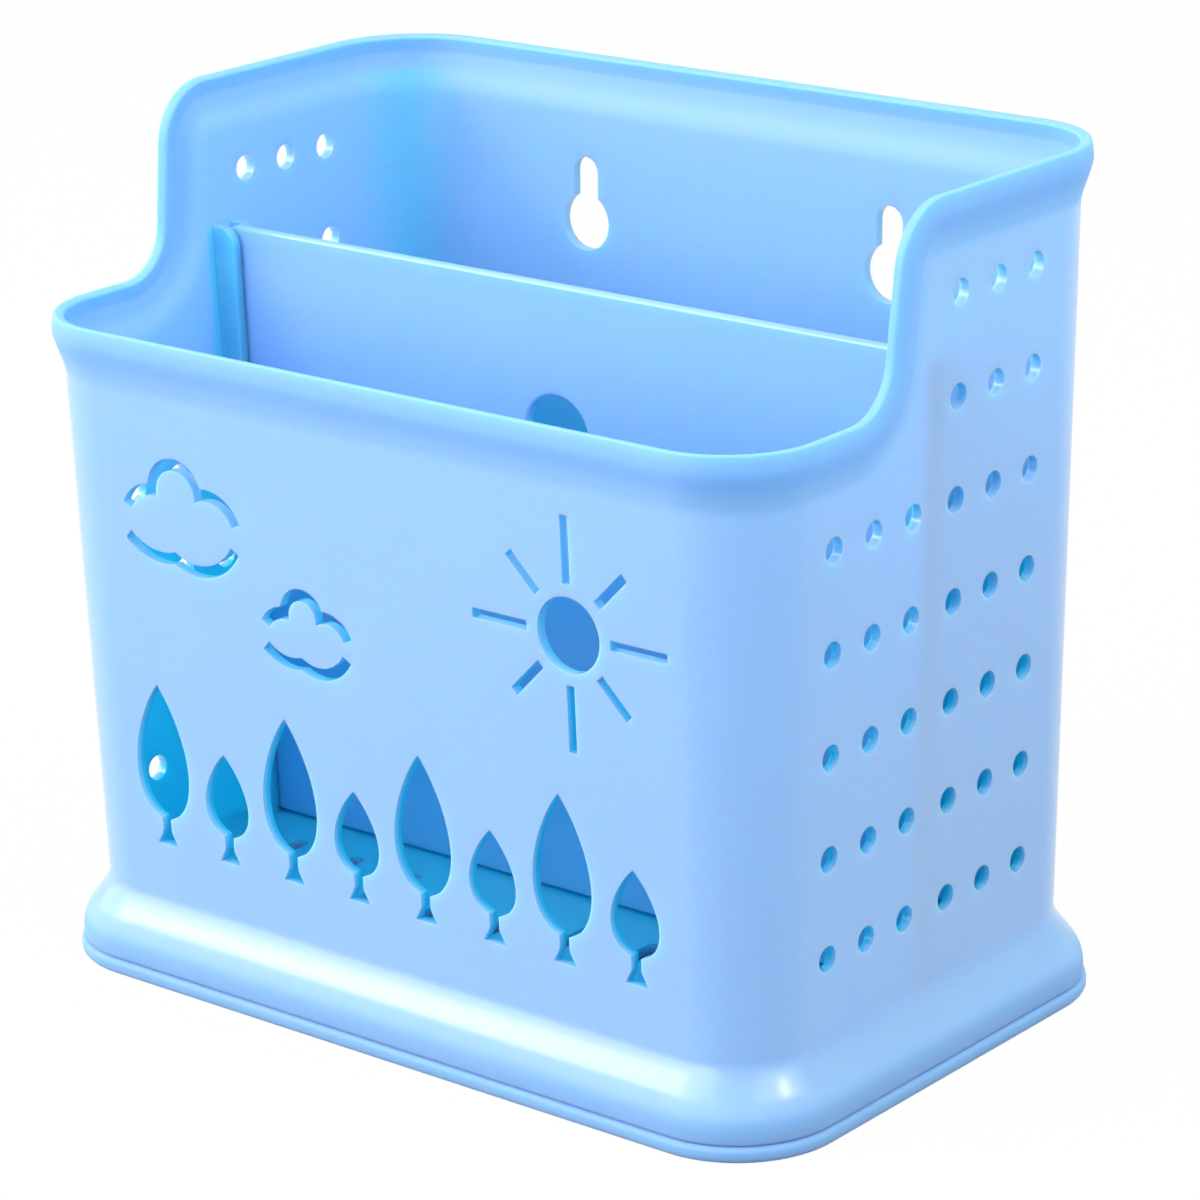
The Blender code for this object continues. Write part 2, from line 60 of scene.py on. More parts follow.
bl_info = {
    "name": "Chopstick holder",
    "version": (1, 0, 0),
    "blender": (4, 5, 0),
    "location": "3D View > Sidebar > Holder",
    "description": "Builds a pierced plastic chopstick holder with its divider and drip tray",
    "category": "Add Mesh",
}

MERGE = 0.000005
OVERRUN = 0.010
QUARTER = math.radians(90)

# Facets of round forms
HOLE_FACETS = 24
SLOT_FACETS = 8
SUN_FACETS = 48
FINGER_FACETS = 64
KEYHOLE_FACETS = 36
KEYHOLE_TOP_FACETS = 14
RIB_FACETS = 10
PLATE_CORNER_FACETS = 12
CLOUD_FACET = math.radians(8)
CLOUD_LEAST_FACETS = 4
RIM_ROUND_FACETS = 5
PLATE_ROUND_FACETS = 3

# Edges above these angles are rounded, and shaded sharp
ROUNDED_ANGLE = math.radians(60)
SHARP_ANGLE = math.radians(38)
FLAT_FACE_WEIGHT = 60


# Properties

def maker(kind, **fixed):
    """A function that makes one kind of property from its name, description and default."""
    return lambda name, description, default: kind(
        name=name, description=description, default=default, **fixed)


length = maker(FloatProperty, min=0.0, unit="LENGTH", precision=5)
place = maker(FloatProperty, unit="LENGTH", precision=5)
share = maker(FloatProperty, subtype="FACTOR", precision=4)
angle = maker(FloatProperty, unit="ROTATION")
strength = maker(FloatProperty, min=0.0)
power = maker(FloatProperty, min=0.0, unit="POWER")
focal = maker(FloatProperty, unit="CAMERA")
count = maker(IntProperty, min=1)
colour = maker(FloatVectorProperty, size=3, subtype="COLOR", min=0.0, max=1.0)
position = maker(FloatVectorProperty, unit="LENGTH")
rotation = maker(FloatVectorProperty, subtype="EULER")


class HOLDER_PG_shell(bpy.types.PropertyGroup):
    """Sizes of the moulded box, taken at the crease above its skirt."""

    width: length("Width", "Outer width at the crease", 0.1432)
    depth: length("Depth", "Outer depth at the crease", 0.0891)
    corner_radius: length("Corner radius", "Outer corner radius at the crease", 0.0125)
    wall: length("Wall", "Wall thickness", 0.0018)
    floor: length("Floor", "Floor thickness", 0.0018)
    draft: share("Draft", "How far the walls lean out for each unit of height", 0.0272)
    crease_height: length("Crease height", "Height of the crease and of the floor", 0.0129)
    front_height: length("Front height", "Height of the rim at the front", 0.1114)
    back_height: length("Back height", "Height of the rim at the back", 0.1423)
    rim_flare: length("Rim flare", "How far the rim's edge stands out", 0.0017)
    rim_band: length("Rim band", "How far down the flare reaches", 0.0090)
    lip_round: length("Lip return", "How far the edge turns in above the flare", 0.0005)
    lip_share: share("Lip share", "Share of the band that the upright lip takes", 0.36)
    rim_curve: share("Rim curve", "Exponent of the flare's hollow", 1.15)
    foot_ease: share("Foot ease", "Softening of the flare's foot, as a share of the band", 0.14)
    step_setback: length("Step setback", "From the front wall to the step's face", 0.0303)
    step_lean: angle("Step lean", "How far the step's face leans back", math.radians(7))
    step_low_radius: length("Low step radius", "Hollow radius at the step's foot", 0.0085)
    step_high_radius: length("High step radius", "Round radius at the step's head", 0.0108)
    skirt_flare: length("Skirt flare", "How far the skirt stands out at its foot", 0.0050)
    skirt_bottom: length("Skirt bottom", "Height of the skirt's lower edge", 0.0028)
    skirt_lip: length("Skirt lip", "Upright strip along the skirt's lower edge", 0.0008)
    skirt_rise: length("Skirt rise", "How far above the crease the wall starts to curve", 0.0015)
    skirt_cove: share("Skirt cove", "Exponent of the hollow at the skirt's top", 1.8)
    skirt_belly: share("Skirt belly", "Exponent of the round at the skirt's foot", 3.0)
    edge_round: length("Edge round", "Rounding of the wall's two free edges", 0.00082)
    rib_thickness: length("Rib thickness", "Thickness of a guide rib", 0.0018)
    rib_reach: length("Rib reach", "How far a guide rib stands into the box", 0.0045)
    rib_top_radius: length("Rib top radius", "Round top of a guide rib", 0.0035)
    corner_steps: count("Corner steps", "Facets round a corner", 22)
    step_steps: count("Step steps", "Facets along each arc of the step", 16)
    rim_rows: count("Rim rows", "Rows of faces down the rim band", 24)
    skirt_rows: count("Skirt rows", "Rows of faces down the skirt", 24)


class HOLDER_PG_picture(bpy.types.PropertyGroup):
    """Sizes of the pierced picture; heights are above the crease."""

    tree_count: count("Trees", "Number of trees, by turns tall and short", 8)
    tree_pitch: length("Tree pitch", "Distance between trees", 0.0142)
    tree_rise: length("Tree rise", "Height of the trees' feet", 0.0109)
    tall_height: length("Tall height", "Height of a tall tree", 0.0283)
    tall_width: length("Tall width", "Width of a tall tree", 0.0118)
    short_height: length("Short height", "Height of a short tree", 0.0190)
    short_width: length("Short width", "Width of a short tree", 0.0096)
    trunk_height: length("Trunk height", "Height of the trunk below the leaf", 0.0046)
    neck_width: length("Neck width", "Width of the trunk under the leaf", 0.0020)
    foot_width: length("Foot width", "Width of the trunk's foot", 0.0046)
    leaf_base: share("Leaf base", "Exponent of the leaf's round lower end", 0.5)
    leaf_tip: share("Leaf tip", "Exponent of the leaf's pointed upper end", 0.9)
    leaf_steps: count("Leaf steps", "Points up one side of a tree", 34)
    sun_x: place("Sun X", "Place of the sun", 0.0390)
    sun_rise: length("Sun rise", "Height of the sun", 0.0655)
    sun_radius: length("Sun radius", "Radius of the sun's disc", 0.0061)
    ray_count: count("Rays", "Number of rays, by turns long and short", 8)
    ray_width: length("Ray width", "Width of a ray", 0.0016)
    ray_start: length("Ray start", "From the sun's centre to a ray", 0.0081)
    ray_long: length("Long ray", "From the sun's centre to a long ray's end", 0.0190)
    ray_short: length("Short ray", "From the sun's centre to a short ray's end", 0.0159)
    stroke: length("Cloud stroke", "Width of the clouds' strokes", 0.0020)
    big_cloud: length("Big cloud", "Width of the big cloud", 0.0250)
    big_cloud_x: place("Big cloud X", "Place of the big cloud", -0.0410)
    big_cloud_rise: length("Big cloud rise", "Height of the big cloud", 0.0697)
    small_cloud: length("Small cloud", "Width of the small cloud", 0.0183)
    small_cloud_x: place("Small cloud X", "Place of the small cloud", -0.0150)
    small_cloud_rise: length("Small cloud rise", "Height of the small cloud", 0.0550)


class HOLDER_PG_drains(bpy.types.PropertyGroup):
    """Sizes of the drain holes, the floor's slots and the keyholes."""

    hole_diameter: length("Hole diameter", "Diameter of a drain hole", 0.0043)
    hole_pitch: length("Hole pitch", "Distance between columns of holes", 0.0100)
    row_pitch: length("Row pitch", "Distance between rows of holes", 0.0164)
    first_row: length("First row", "Height of the first row above the crease", 0.0144)
    divider_gap: length("Divider gap", "From the divider to the next holes", 0.00554)
    columns: count("Columns", "Columns of holes on each side of the divider", 3)
    front_rows: count("Front rows", "Rows of holes before the divider", 5)
    back_rows: count("Back rows", "Rows of holes behind the divider", 7)
    slot_width: length("Slot width", "Width of a floor slot", 0.0030)
    slot_length: length("Slot length", "Length of a floor slot", 0.0240)
    slot_pitch: length("Slot pitch", "Distance between floor slots", 0.0130)
    slot_count: count("Slots", "Floor slots in each compartment", 9)
    keyhole_spread: length("Keyhole spread", "Distance between the keyholes", 0.0638)
    keyhole_drop: length("Keyhole drop", "From the back rim to the round opening", 0.0286)
    keyhole_radius: length("Keyhole radius", "Radius of the round opening", 0.0050)
    keyhole_slot: length("Keyhole slot", "Width of the narrow slot", 0.0053)
    keyhole_rise: length("Keyhole rise", "How far the slot rises", 0.0113)


class HOLDER_PG_divider(bpy.types.PropertyGroup):
    """Sizes of the lift-out divider."""

    thickness: length("Thickness", "Thickness of the plate", 0.0020)
    offset: place("Offset", "Place of the plate from front to back", -0.0007)
    height: length("Height", "Height of its upper edge", 0.1173)
    # Share of the painted inner shade that the divider takes
    tone: share("Tone", "Share of the inner colour that it takes", 0.55)
    clearance: length("Clearance", "Gap to the walls, floor and ribs", 0.0003)
    corner_radius: length("Corner radius", "Radius of its upper corners", 0.0030)
    edge_round: length("Edge round", "Rounding of its edges", 0.0006)
    finger_hole: length("Finger hole", "Diameter of the finger hole", 0.0130)
    finger_drop: length("Finger drop", "From its upper edge to the finger hole", 0.0250)


class HOLDER_PG_tray(bpy.types.PropertyGroup):
    """Sizes of the drip tray."""

    flange: length("Flange", "Thickness of the flange", 0.0027)
    flange_lip: length("Flange lip", "How far the flange stands out of the skirt", 0.0005)
    wall: length("Wall", "Wall thickness of the upstand", 0.0016)
    floor: length("Floor", "Thickness of the basin's floor", 0.0016)
    clearance: length("Clearance", "Gap between upstand and skirt", 0.0004)
    seat_gap: length("Seat gap", "Gap under the holder's floor", 0.0003)
    edge_round: length("Edge round", "Rounding of the flange", 0.0010)
    fillet: length("Fillet", "Hollow along the foot of the upstand", 0.0008)
    round_steps: count("Round steps", "Facets along each rounding", 5)


class HOLDER_PG_plastic(bpy.types.PropertyGroup):
    """Dyed polypropylene with a moulded gloss, and painted shade along its rim and down inside the
    box.
    """

    tint: colour("Colour", "Main colour of the plastic", (0.295, 0.512, 0.930))
    deep: colour("Deep colour", "Colour where the dye gathers", (0.280, 0.494, 0.915))
    # Painted shade: a deep teal for the shade low inside the box, in its inner corners and beside the
    # guide ribs
    inner: colour("Inner colour", "Colour down inside the box", (0.03, 0.60, 0.93))
    # Painted shade: a darker colour along the rim band, the skirt's foot and all over the tray
    edge: colour("Edge colour", "Colour along the rim and the skirt's foot", (0.230, 0.450, 0.900))
    matt: share("Edge matt", "Roughness that handling adds along rim and foot", 0.28)
    gloss: share("Roughness", "Roughness of the moulded face", 0.30)
    haze: share("Haze", "How much the roughness varies", 0.06)
    skin: share("Skin", "Weight of the glossy skin that the mould leaves", 0.6)
    skin_rough: share("Skin roughness", "Roughness of the glossy skin", 0.24)
    skin_index: strength("Skin index", "Index of refraction of the glossy skin", 1.50)
    peel: length("Peel depth", "Depth of the fine ripple left by the mould", 0.000008)
    sink: length("Sink depth", "Depth of the slow waves in the walls", 0.00006)
    milk: share("Milkiness", "Share of the light that travels inside the plastic", 0.85)
    reach: length("Light reach", "How far light travels inside the plastic", 0.0055)
    spread: colour("Spread", "Share of that reach in red, green and blue", (0.2, 1.0, 0.9))
    index: strength("Index", "Index of refraction of the plastic", 1.49)


class HOLDER_PG_stage(bpy.types.PropertyGroup):
    """Camera, lights and floor."""

    floor: colour("Floor", "Colour of the floor", (0.22, 0.225, 0.23))
    glow: share("Glow", "Share of the floor's own white that the camera sees", 0.92)
    white: strength("White", "Strength of the floor's own white", 1.06)
    sky: strength("Sky", "Strength of the soft light from all round", 0.80)
    window: power("Window", "Power of the broad light at the left", 4.0)
    front: power("Front", "Power of the soft light before the holder", 14.5)
    lamp: power("Lamp", "Power of the light at the right", 4.8)
    top: power("Top", "Power of the light above the holder", 2.0)
    strip: power("Strip", "Power of the low strip light at the left", 2.3)
    spark: power("Spark", "Power of the small lamp at the right", 1.2)
    warmth: colour("Warmth", "Colour of the lamps", (1.0, 0.93, 0.92))
    coolness: colour("Coolness", "Colour of the soft light from all round", (0.80, 0.95, 1.0))
    lens: focal("Lens", "Focal length", 137.58)
    spot: position("Camera place", "Where the camera stands", (0.457347, -0.543603, 0.299909))
    aim: rotation("Camera turn", "Rotation of the camera", (1.24978, 0.02193, 0.68459))


class HOLDER_PG_settings(bpy.types.PropertyGroup):
    """Everything that can be set about the holder."""

    shell: PointerProperty(type=HOLDER_PG_shell)
    picture: PointerProperty(type=HOLDER_PG_picture)
    drains: PointerProperty(type=HOLDER_PG_drains)
    divider: PointerProperty(type=HOLDER_PG_divider)
    tray: PointerProperty(type=HOLDER_PG_tray)
    plastic: PointerProperty(type=HOLDER_PG_plastic)
    stage: PointerProperty(type=HOLDER_PG_stage)


# Node trees

NODE_STEP = (200, -300)
NODES_PER_ROW = 12


def math_method(operation):
    """A method for one of Python's operators."""
    return lambda self, other: self.math(operation, other)


class Reading:
    """A number in a node tree.  Sums written on it add the Math nodes that work them out."""

    def __init__(self, board, socket):
        self.board = board
        self.socket = socket

    def math(self, operation, *others):
        return self.board.math(operation, self, *others)

    def __rsub__(self, other):
        return self.board.math("SUBTRACT", other, self)

    __add__ = math_method("ADD")
    __sub__ = math_method("SUBTRACT")
    __mul__ = math_method("MULTIPLY")
    __truediv__ = math_method("DIVIDE")
    __pow__ = math_method("POWER")
    __lt__ = math_method("LESS_THAN")
    __gt__ = math_method("GREATER_THAN")


class Board:
    """A node tree that is laid out as it is written."""

    def __init__(self, tree):
        self.tree = tree
        self.tree.nodes.clear()

    def node(self, kind, sockets=None, **settings):
        """Adds a node: its settings first, then the values or links of its inputs."""
        row, column = divmod(len(self.tree.nodes), NODES_PER_ROW)
        node = self.tree.nodes.new(kind)
        node.location = (NODE_STEP[0] * column, NODE_STEP[1] * row)
        for name, value in settings.items():
            setattr(node, name, value)
        for key, value in (sockets or {}).items():
            socket = node.inputs[key]
            if isinstance(value, Reading):
                value = value.socket
            if isinstance(value, bpy.types.NodeSocket):
                self.tree.links.new(value, socket)
            else:
                socket.default_value = value
        return node

    def read(self, kind, sockets=None, output=0, **settings):
        """Adds a node and reads one of its outputs as a number."""
        return Reading(self, self.node(kind, sockets, **settings).outputs[output])

    def math(self, operation, *values):
        return self.read("ShaderNodeMath", dict(enumerate(values)), operation=operation)

    def vector(self, x=0.0, y=0.0, z=0.0):
        return self.read("ShaderNodeCombineXYZ", {"X": x, "Y": y, "Z": z})

    def split(self, vector):
        """The X, Y and Z of a vector."""
        parts = self.node("ShaderNodeSeparateXYZ", {"Vector": vector}).outputs
        return [Reading(self, parts[axis]) for axis in "XYZ"]


def shader_board(data):
    """The emptied nodes of a material or world."""
    data.use_nodes = True
    return Board(data.node_tree)


SOCKET_KINDS = {int: "NodeSocketInt", float: "NodeSocketFloat",
                bpy.types.Material: "NodeSocketMaterial"}


class ShapeBoard(Board):
    """A Geometry Nodes tree with one named input for its plastic and for each of its sizes."""

    def __init__(self, name, plastic, sizes):
        tree = bpy.data.node_groups.new(name, "GeometryNodeTree")
        super().__init__(tree)
        for way in ("INPUT", "OUTPUT"):
            tree.interface.new_socket("Geometry", in_out=way, socket_type="NodeSocketGeometry")
        self.values = {}
        for label, value in {"plastic": plastic, **sizes}.items():
            socket = tree.interface.new_socket(label, in_out="INPUT",
                                               socket_type=SOCKET_KINDS[type(value)])
            self.values[socket.identifier] = value
        self.inlet = self.node("NodeGroupInput")

    def __getitem__(self, label):
        """The input of a size, as a number."""
        return Reading(self, self.inlet.outputs[label])

    def shape(self, kind, sockets=None, **settings):
        """Adds a geometry node and returns its first output."""
        return self.node("GeometryNode" + kind, sockets, **settings).outputs[0]

    def disc(self, facets, radius):
        return self.shape("MeshCircle", {"Vertices": facets, "Radius": radius},
                          fill_type="NGON")

    def grid(self, width, height, columns, rows):
        return self.shape("MeshGrid", {"Size X": width, "Size Y": height,
                                       "Vertices X": columns, "Vertices Y": rows})

    def stamped(self, points, stamp, sockets=None):
        """Real faces of a stamp on each of the points."""
        stamps = self.shape("InstanceOnPoints",
                            {"Points": points, "Instance": stamp, **(sockets or {})})
        return self.shape("RealizeInstances", {"Geometry": stamps})

    def joined(self, *shapes):
        join = self.node("GeometryNodeJoinGeometry")
        for shape in reversed(shapes):
            self.tree.links.new(shape, join.inputs[0])
        return join.outputs[0]

    def merged(self, *shapes):
        return self.shape("MergeByDistance",
                          {"Geometry": self.joined(*shapes), "Distance": MERGE})

    def prism(self, faces):
        """Flat faces as closed prisms, half of the depth to each side of them."""
        depth = self["depth"]
        low = self.shape("Transform",
                         {"Geometry": faces, "Translation": self.vector(z=depth / -2)})
        high = self.shape("ExtrudeMesh", {"Mesh": low, "Offset": self.vector(z=depth),
                                          "Offset Scale": 1.0, "Individual": False})
        return self.merged(high, self.shape("FlipFaces", {"Mesh": low}))

    def grow(self, shape, mesh=None, turn=Matrix.Identity(4)):
        """Ends the tree with a shape, and makes of it a plain mesh object in its place."""
        made = self.shape("SetMaterial", {"Geometry": shape, "Material": self["plastic"]})
        self.node("NodeGroupOutput", {"Geometry": made})
        item = add_object(self.tree.name, mesh or bpy.data.meshes.new(self.tree.name))
        step = item.modifiers.new("shape", "NODES")
        step.node_group = self.tree
        for identifier, value in self.values.items():
            step[identifier] = value
        settle(item)
        item.data.transform(turn)
        return item


# Meshes

def add_object(name, data):
    item = bpy.data.objects.new(name, data)
    bpy.context.scene.collection.objects.link(item)
    return item


def mesh_from(name, shape):
    mesh = bpy.data.meshes.new(name)
    shape.to_mesh(mesh)
    shape.free()
    return mesh


def settle(item):
    """Applies the modifiers by taking the evaluated shape as a plain mesh."""
    bpy.context.view_layer.update()
    graph = bpy.context.evaluated_depsgraph_get()
    made = bpy.data.meshes.new_from_object(item.evaluated_get(graph), depsgraph=graph)
    made.name = item.name
    item.modifiers.clear()
    old, item.data = item.data, made
    bpy.data.meshes.remove(old)


def discard(*items):
    for item in items:
        mesh = item.data
        bpy.data.objects.remove(item)
        bpy.data.meshes.remove(mesh)


def boolean(item, others, operation):
    """Joins the others to item, or cuts them out of it, and does away with them."""
    for other in others:
        step = item.modifiers.new(other.name, "BOOLEAN")
        step.operation = operation
        step.solver = "EXACT"
        step.object = other
    settle(item)
    discard(*others)


def bevel(item, width, segments):
    step = item.modifiers.new("edge_rounding", "BEVEL")
    step.width = width
    step.segments = segments
    step.limit_method = "ANGLE"
    step.angle_limit = ROUNDED_ANGLE
    settle(item)


def finish_piece(item, node, body, plastic):
    """Shades a piece, gives it its plastic and puts it in the place of its CAD node."""
    item.data.materials.clear()
    item.data.materials.append(plastic)
    item.data.shade_smooth()
    item.data.set_sharp_from_angle(angle=SHARP_ANGLE)
    step = item.modifiers.new("flat_faces_first", "WEIGHTED_NORMAL")
    step.keep_sharp = True
    step.weight = FLAT_FACE_WEIGHT
    settle(item)
    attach(item, body)
    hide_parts(node)


def arc(centre, radius, start, end, steps):
    """Points along an arc, both ends included."""
    centre = Vector(centre)
    points = []
    for step in range(steps + 1):
        turn = start + (end - start) * step / steps
        points.append(centre + radius * Vector((math.cos(turn), math.sin(turn))))
    return points


def slab(name, outline, start, end, turn=Matrix.Identity(4)):
    """A closed prism on a flat outline, from start to end along its normal."""
    shape = bmesh.new()
    low = [shape.verts.new((x, y, start)) for x, y in outline]
    high = [shape.verts.new((x, y, end)) for x, y in outline]
    shape.faces.new(low[::-1])
    shape.faces.new(high)
    for index in range(len(outline)):
        after = (index + 1) % len(outline)
        shape.faces.new((low[index], low[after], high[after], high[index]))
    bmesh.ops.recalc_face_normals(shape, faces=shape.faces)
    bmesh.ops.transform(shape, matrix=turn, verts=shape.verts)
    return add_object(name, mesh_from(name, shape))


UPRIGHT = Matrix.Rotation(QUARTER, 4, "X")
SIDEWAYS = Matrix.Rotation(QUARTER, 4, "Z") @ UPRIGHT


# The moulded box

class WallRows:
    """Rows of points down the right half of the box's outer face."""

    def __init__(self, sizes):
        self.sizes = sizes
        self.half_width = sizes.width / 2
        self.half_depth = sizes.depth / 2

    def draft(self, height):
        return self.sizes.draft * (height - self.sizes.crease_height)

    def corner(self, end):
        """Base points and outward normals round the front (-1) or back (1) corner."""
        radius = self.sizes.corner_radius
        centre = (self.half_width - radius, end * (self.half_depth - radius))
        start = QUARTER * (end - 1) / 2
        steps = self.sizes.corner_steps
        return list(zip(arc(centre, radius, start, start + QUARTER, steps),
                        arc((0, 0), 1.0, start, start + QUARTER, steps)))

    def step(self, drop):
        """The S step seen from the side, at a distance drop inside the rim's edge."""
        sizes = self.sizes
        low_radius, high_radius, lean = sizes.step_low_radius, sizes.step_high_radius, sizes.step_lean
        reach = low_radius + high_radius
        low = Vector((sizes.step_setback - self.half_depth - low_radius,
                      sizes.front_height + low_radius))
        rise = sizes.back_height - high_radius - low.y
        run = (rise + reach * math.sin(lean)) / math.cos(lean)
        high = low + Vector((reach * math.cos(lean) + run * math.sin(lean), rise))
        steps = sizes.step_steps
        first = arc(low, low_radius + drop, -QUARTER, -lean, steps)
        second = arc(high, high_radius - drop, math.pi - lean, QUARTER, steps)
        return first + second

    def flare(self, part):
        """Outward flare of the rim at a share of the band's height."""
        sizes, ease = self.sizes, self.sizes.foot_ease
        if part > 1 - ease:
            return self.flare(1 - ease) * ((1 + ease - part) / (2 * ease)) ** 2
        if part < sizes.lip_share:
            return sizes.rim_flare - sizes.lip_round * (1 - part / sizes.lip_share) ** 2
        below = (part - sizes.lip_share) / (1 - sizes.lip_share)
        return sizes.rim_flare * (1 - below ** sizes.rim_curve)

    def rim_row(self, part):
        sizes = self.sizes
        drop, flare = part * sizes.rim_band, self.flare(part)
        front, back = sizes.front_height - drop, sizes.back_height - drop
        low, tall = self.draft(front) + flare, self.draft(back) + flare
        row = [Vector((0, -self.half_depth - low, front))]
        row += [(*(base + normal * low), front) for base, normal in self.corner(-1)]
        row += [(self.half_width + self.draft(z) + flare, y, z) for y, z in self.step(drop)]
        row += [(*(base + normal * tall), back) for base, normal in self.corner(1)]
        return row + [(0, self.half_depth + tall, back)]

    def level_row(self, height, offset):
        row = [(0, -self.half_depth - offset, height)]
        for base, normal in self.corner(-1) + self.corner(1):
            row.append((*(base + normal * offset), height))
        return row + [(0, self.half_depth + offset, height)]

    def skirt(self):
        sizes = self.sizes
        foot = sizes.skirt_bottom + sizes.skirt_lip
        head = sizes.crease_height + sizes.skirt_rise
        rows = []
        for row in range(sizes.skirt_rows + 1):
            part = row / sizes.skirt_rows
            swell = 1 - (1 - part ** sizes.skirt_cove) ** sizes.skirt_belly
            rows.append(self.level_row(head * (1 - part) + foot * part,
                                       self.draft(head) * (1 - part) + sizes.skirt_flare * swell))
        return rows + [self.level_row(sizes.skirt_bottom, sizes.skirt_flare)]


# Shares of the rim band and of the skirt at which handling starts to dull the plastic and has
# done so fully; the same shares bring in the darker edge colour, painted shade. The tray takes both
# all over.
RIM_FADE = (1.15, 0.40)
SKIRT_FADE = (0.40, 0.85)
TRAY_DULL_AND_SHADE = 0.8


def wall_mesh(sizes):
    """Right half of the outer face, with the flat part of the side wall as one face."""
    plan = WallRows(sizes)
    shape = bmesh.new()
    # Each point's share of matt roughness and of the darker edge colour, which is painted shade
    dulled = shape.verts.layers.float.new("dulled")

    def placed(points, part, fade):
        """Adds a row of points, matt and with painted edge shade as its part of the fade says."""
        start, end = fade
        row = [shape.verts.new(point) for point in points]
        for point in row:
            point[dulled] = min(max((part - start) / (end - start), 0.0), 1.0)
        return row

    parts = [(1 + sizes.foot_ease) * row / sizes.rim_rows for row in range(sizes.rim_rows + 1)]
    rim = [placed(plan.rim_row(part), part, RIM_FADE) for part in parts]
    rows = plan.skirt()
    skirt = [placed(row, at / len(rows), SKIRT_FADE) for at, row in enumerate(rows)]

    def strip(upper, lower):
        for left in range(len(upper) - 1):
            shape.faces.new((upper[left], lower[left], lower[left + 1], upper[left + 1]))

    for rows in (rim, skirt):
        for upper, lower in zip(rows, rows[1:]):
            strip(upper, lower)
    foot, crease = rim[-1], skirt[0]
    front = sizes.corner_steps + 2
    strip(foot[:front], crease[:front])
    strip(foot[-front:], crease[-front:])
    side = foot[front - 1:len(foot) - front + 1]
    shape.faces.new([crease[front - 1], crease[front]] + side[::-1])
    bmesh.ops.recalc_face_normals(shape, faces=shape.faces)
    return mesh_from("holder_shell", shape)


def body_outline(sizes, offset):
    """The box's outline at the crease, moved outward by offset."""
    radius = sizes.corner_radius
    outline = []
    for corner, (side, end) in enumerate(((1, -1), (1, 1), (-1, 1), (-1, -1))):
        centre = (side * (sizes.width / 2 - radius), end * (sizes.depth / 2 - radius))
        start = QUARTER * (corner - 1)
        outline += arc(centre, radius + offset, start, start + QUARTER, sizes.corner_steps)
    return outline


def guide_rib(settings, side, rear):
    """One rib beside the divider, on the right (1) or left (-1) wall."""
    sizes, plate = settings.shell, settings.divider
    top, radius = plate.height, sizes.rib_top_radius
    root = sizes.width / 2 - sizes.wall / 2
    lean = sizes.draft * (top - sizes.crease_height)
    reach = sizes.wall / 2 + sizes.rib_reach
    foot = sizes.crease_height - sizes.floor / 2
    outline = [(root, foot), (root - reach, foot)]
    outline += arc((root + lean - reach + radius, top - radius), radius, math.pi, QUARTER,
                   RIB_FACETS)
    outline.append((root + lean, top))
    near = plate.thickness / 2 + plate.clearance
    start = near if rear else -near - sizes.rib_thickness
    start = -(plate.offset + start)
    return slab("guide_rib", [(side * x, z) for x, z in outline],
                start, start - sizes.rib_thickness, UPRIGHT)


def blank_shell(settings):
    """The box before it is pierced: wall, floor and guide ribs in one mould."""
    sizes = settings.shell
    shell = add_object("holder_shell", wall_mesh(sizes))
    mirror = shell.modifiers.new("mirror", "MIRROR")
    mirror.merge_threshold = MERGE
    thick = shell.modifiers.new("wall", "SOLIDIFY")
    thick.thickness = sizes.wall
    thick.offset = -1
    thick.use_even_offset = True
    settle(shell)
    bevel(shell, sizes.edge_round, RIM_ROUND_FACETS)
    floor = slab("floor_plate", body_outline(sizes, -sizes.wall / 2),
                 sizes.crease_height - sizes.floor, sizes.crease_height)
    ribs = [guide_rib(settings, side, rear) for side in (1, -1) for rear in (False, True)]
    boolean(shell, [floor] + ribs, "UNION")
    return shell


# Openings

# Radius of a slot's end as a share of its width, just short of where its sides would vanish
ALMOST_HALF = 0.499
# Exponent that crowds a tree's points towards its foot
FOOT_CROWDING = 1.25
# How far up the trunk reaches, as a share of its height: a little into the leaf
TRUNK_OVERLAP = 1.02


def picked(group, names):
    """Some of a group's sizes under their own names."""
    return {name: getattr(group, name) for name in names.split()}


def on_front(sizes, x, rise):
    """Turns a flat figure upright and sets it on the front wall, above the crease."""
    return Matrix.Translation((x, -sizes.depth / 2, sizes.crease_height + rise)) @ UPRIGHT


def drain_holes(settings, plastic, rear):
    """Round pins through both side walls, in rows and columns beside the divider."""
    sizes, gaps = settings.shell, settings.drains
    side = 1.0 if rear else -1.0
    board = ShapeBoard("drain_holes", plastic, {
        **picked(gaps, "columns hole_pitch row_pitch hole_diameter"), "side": side,
        "rows": gaps.back_rows if rear else gaps.front_rows,
        "nearest": settings.divider.offset + side * gaps.divider_gap,
        "lowest": sizes.crease_height + gaps.first_row,
        "depth": sizes.width + 4 * OVERRUN})
    columns, rows = board["columns"], board["rows"]
    across = (columns - 1) * board["hole_pitch"]
    up = (rows - 1) * board["row_pitch"]
    middle = board.vector(board["nearest"] + board["side"] * across / 2,
                          board["lowest"] + up / 2)
    points = board.shape("Transform", {"Geometry": board.grid(across, up, columns, rows),
                                       "Translation": middle})
    hole = board.disc(HOLE_FACETS, board["hole_diameter"] / 2)
    return board.grow(board.prism(board.stamped(points, hole)), turn=SIDEWAYS)


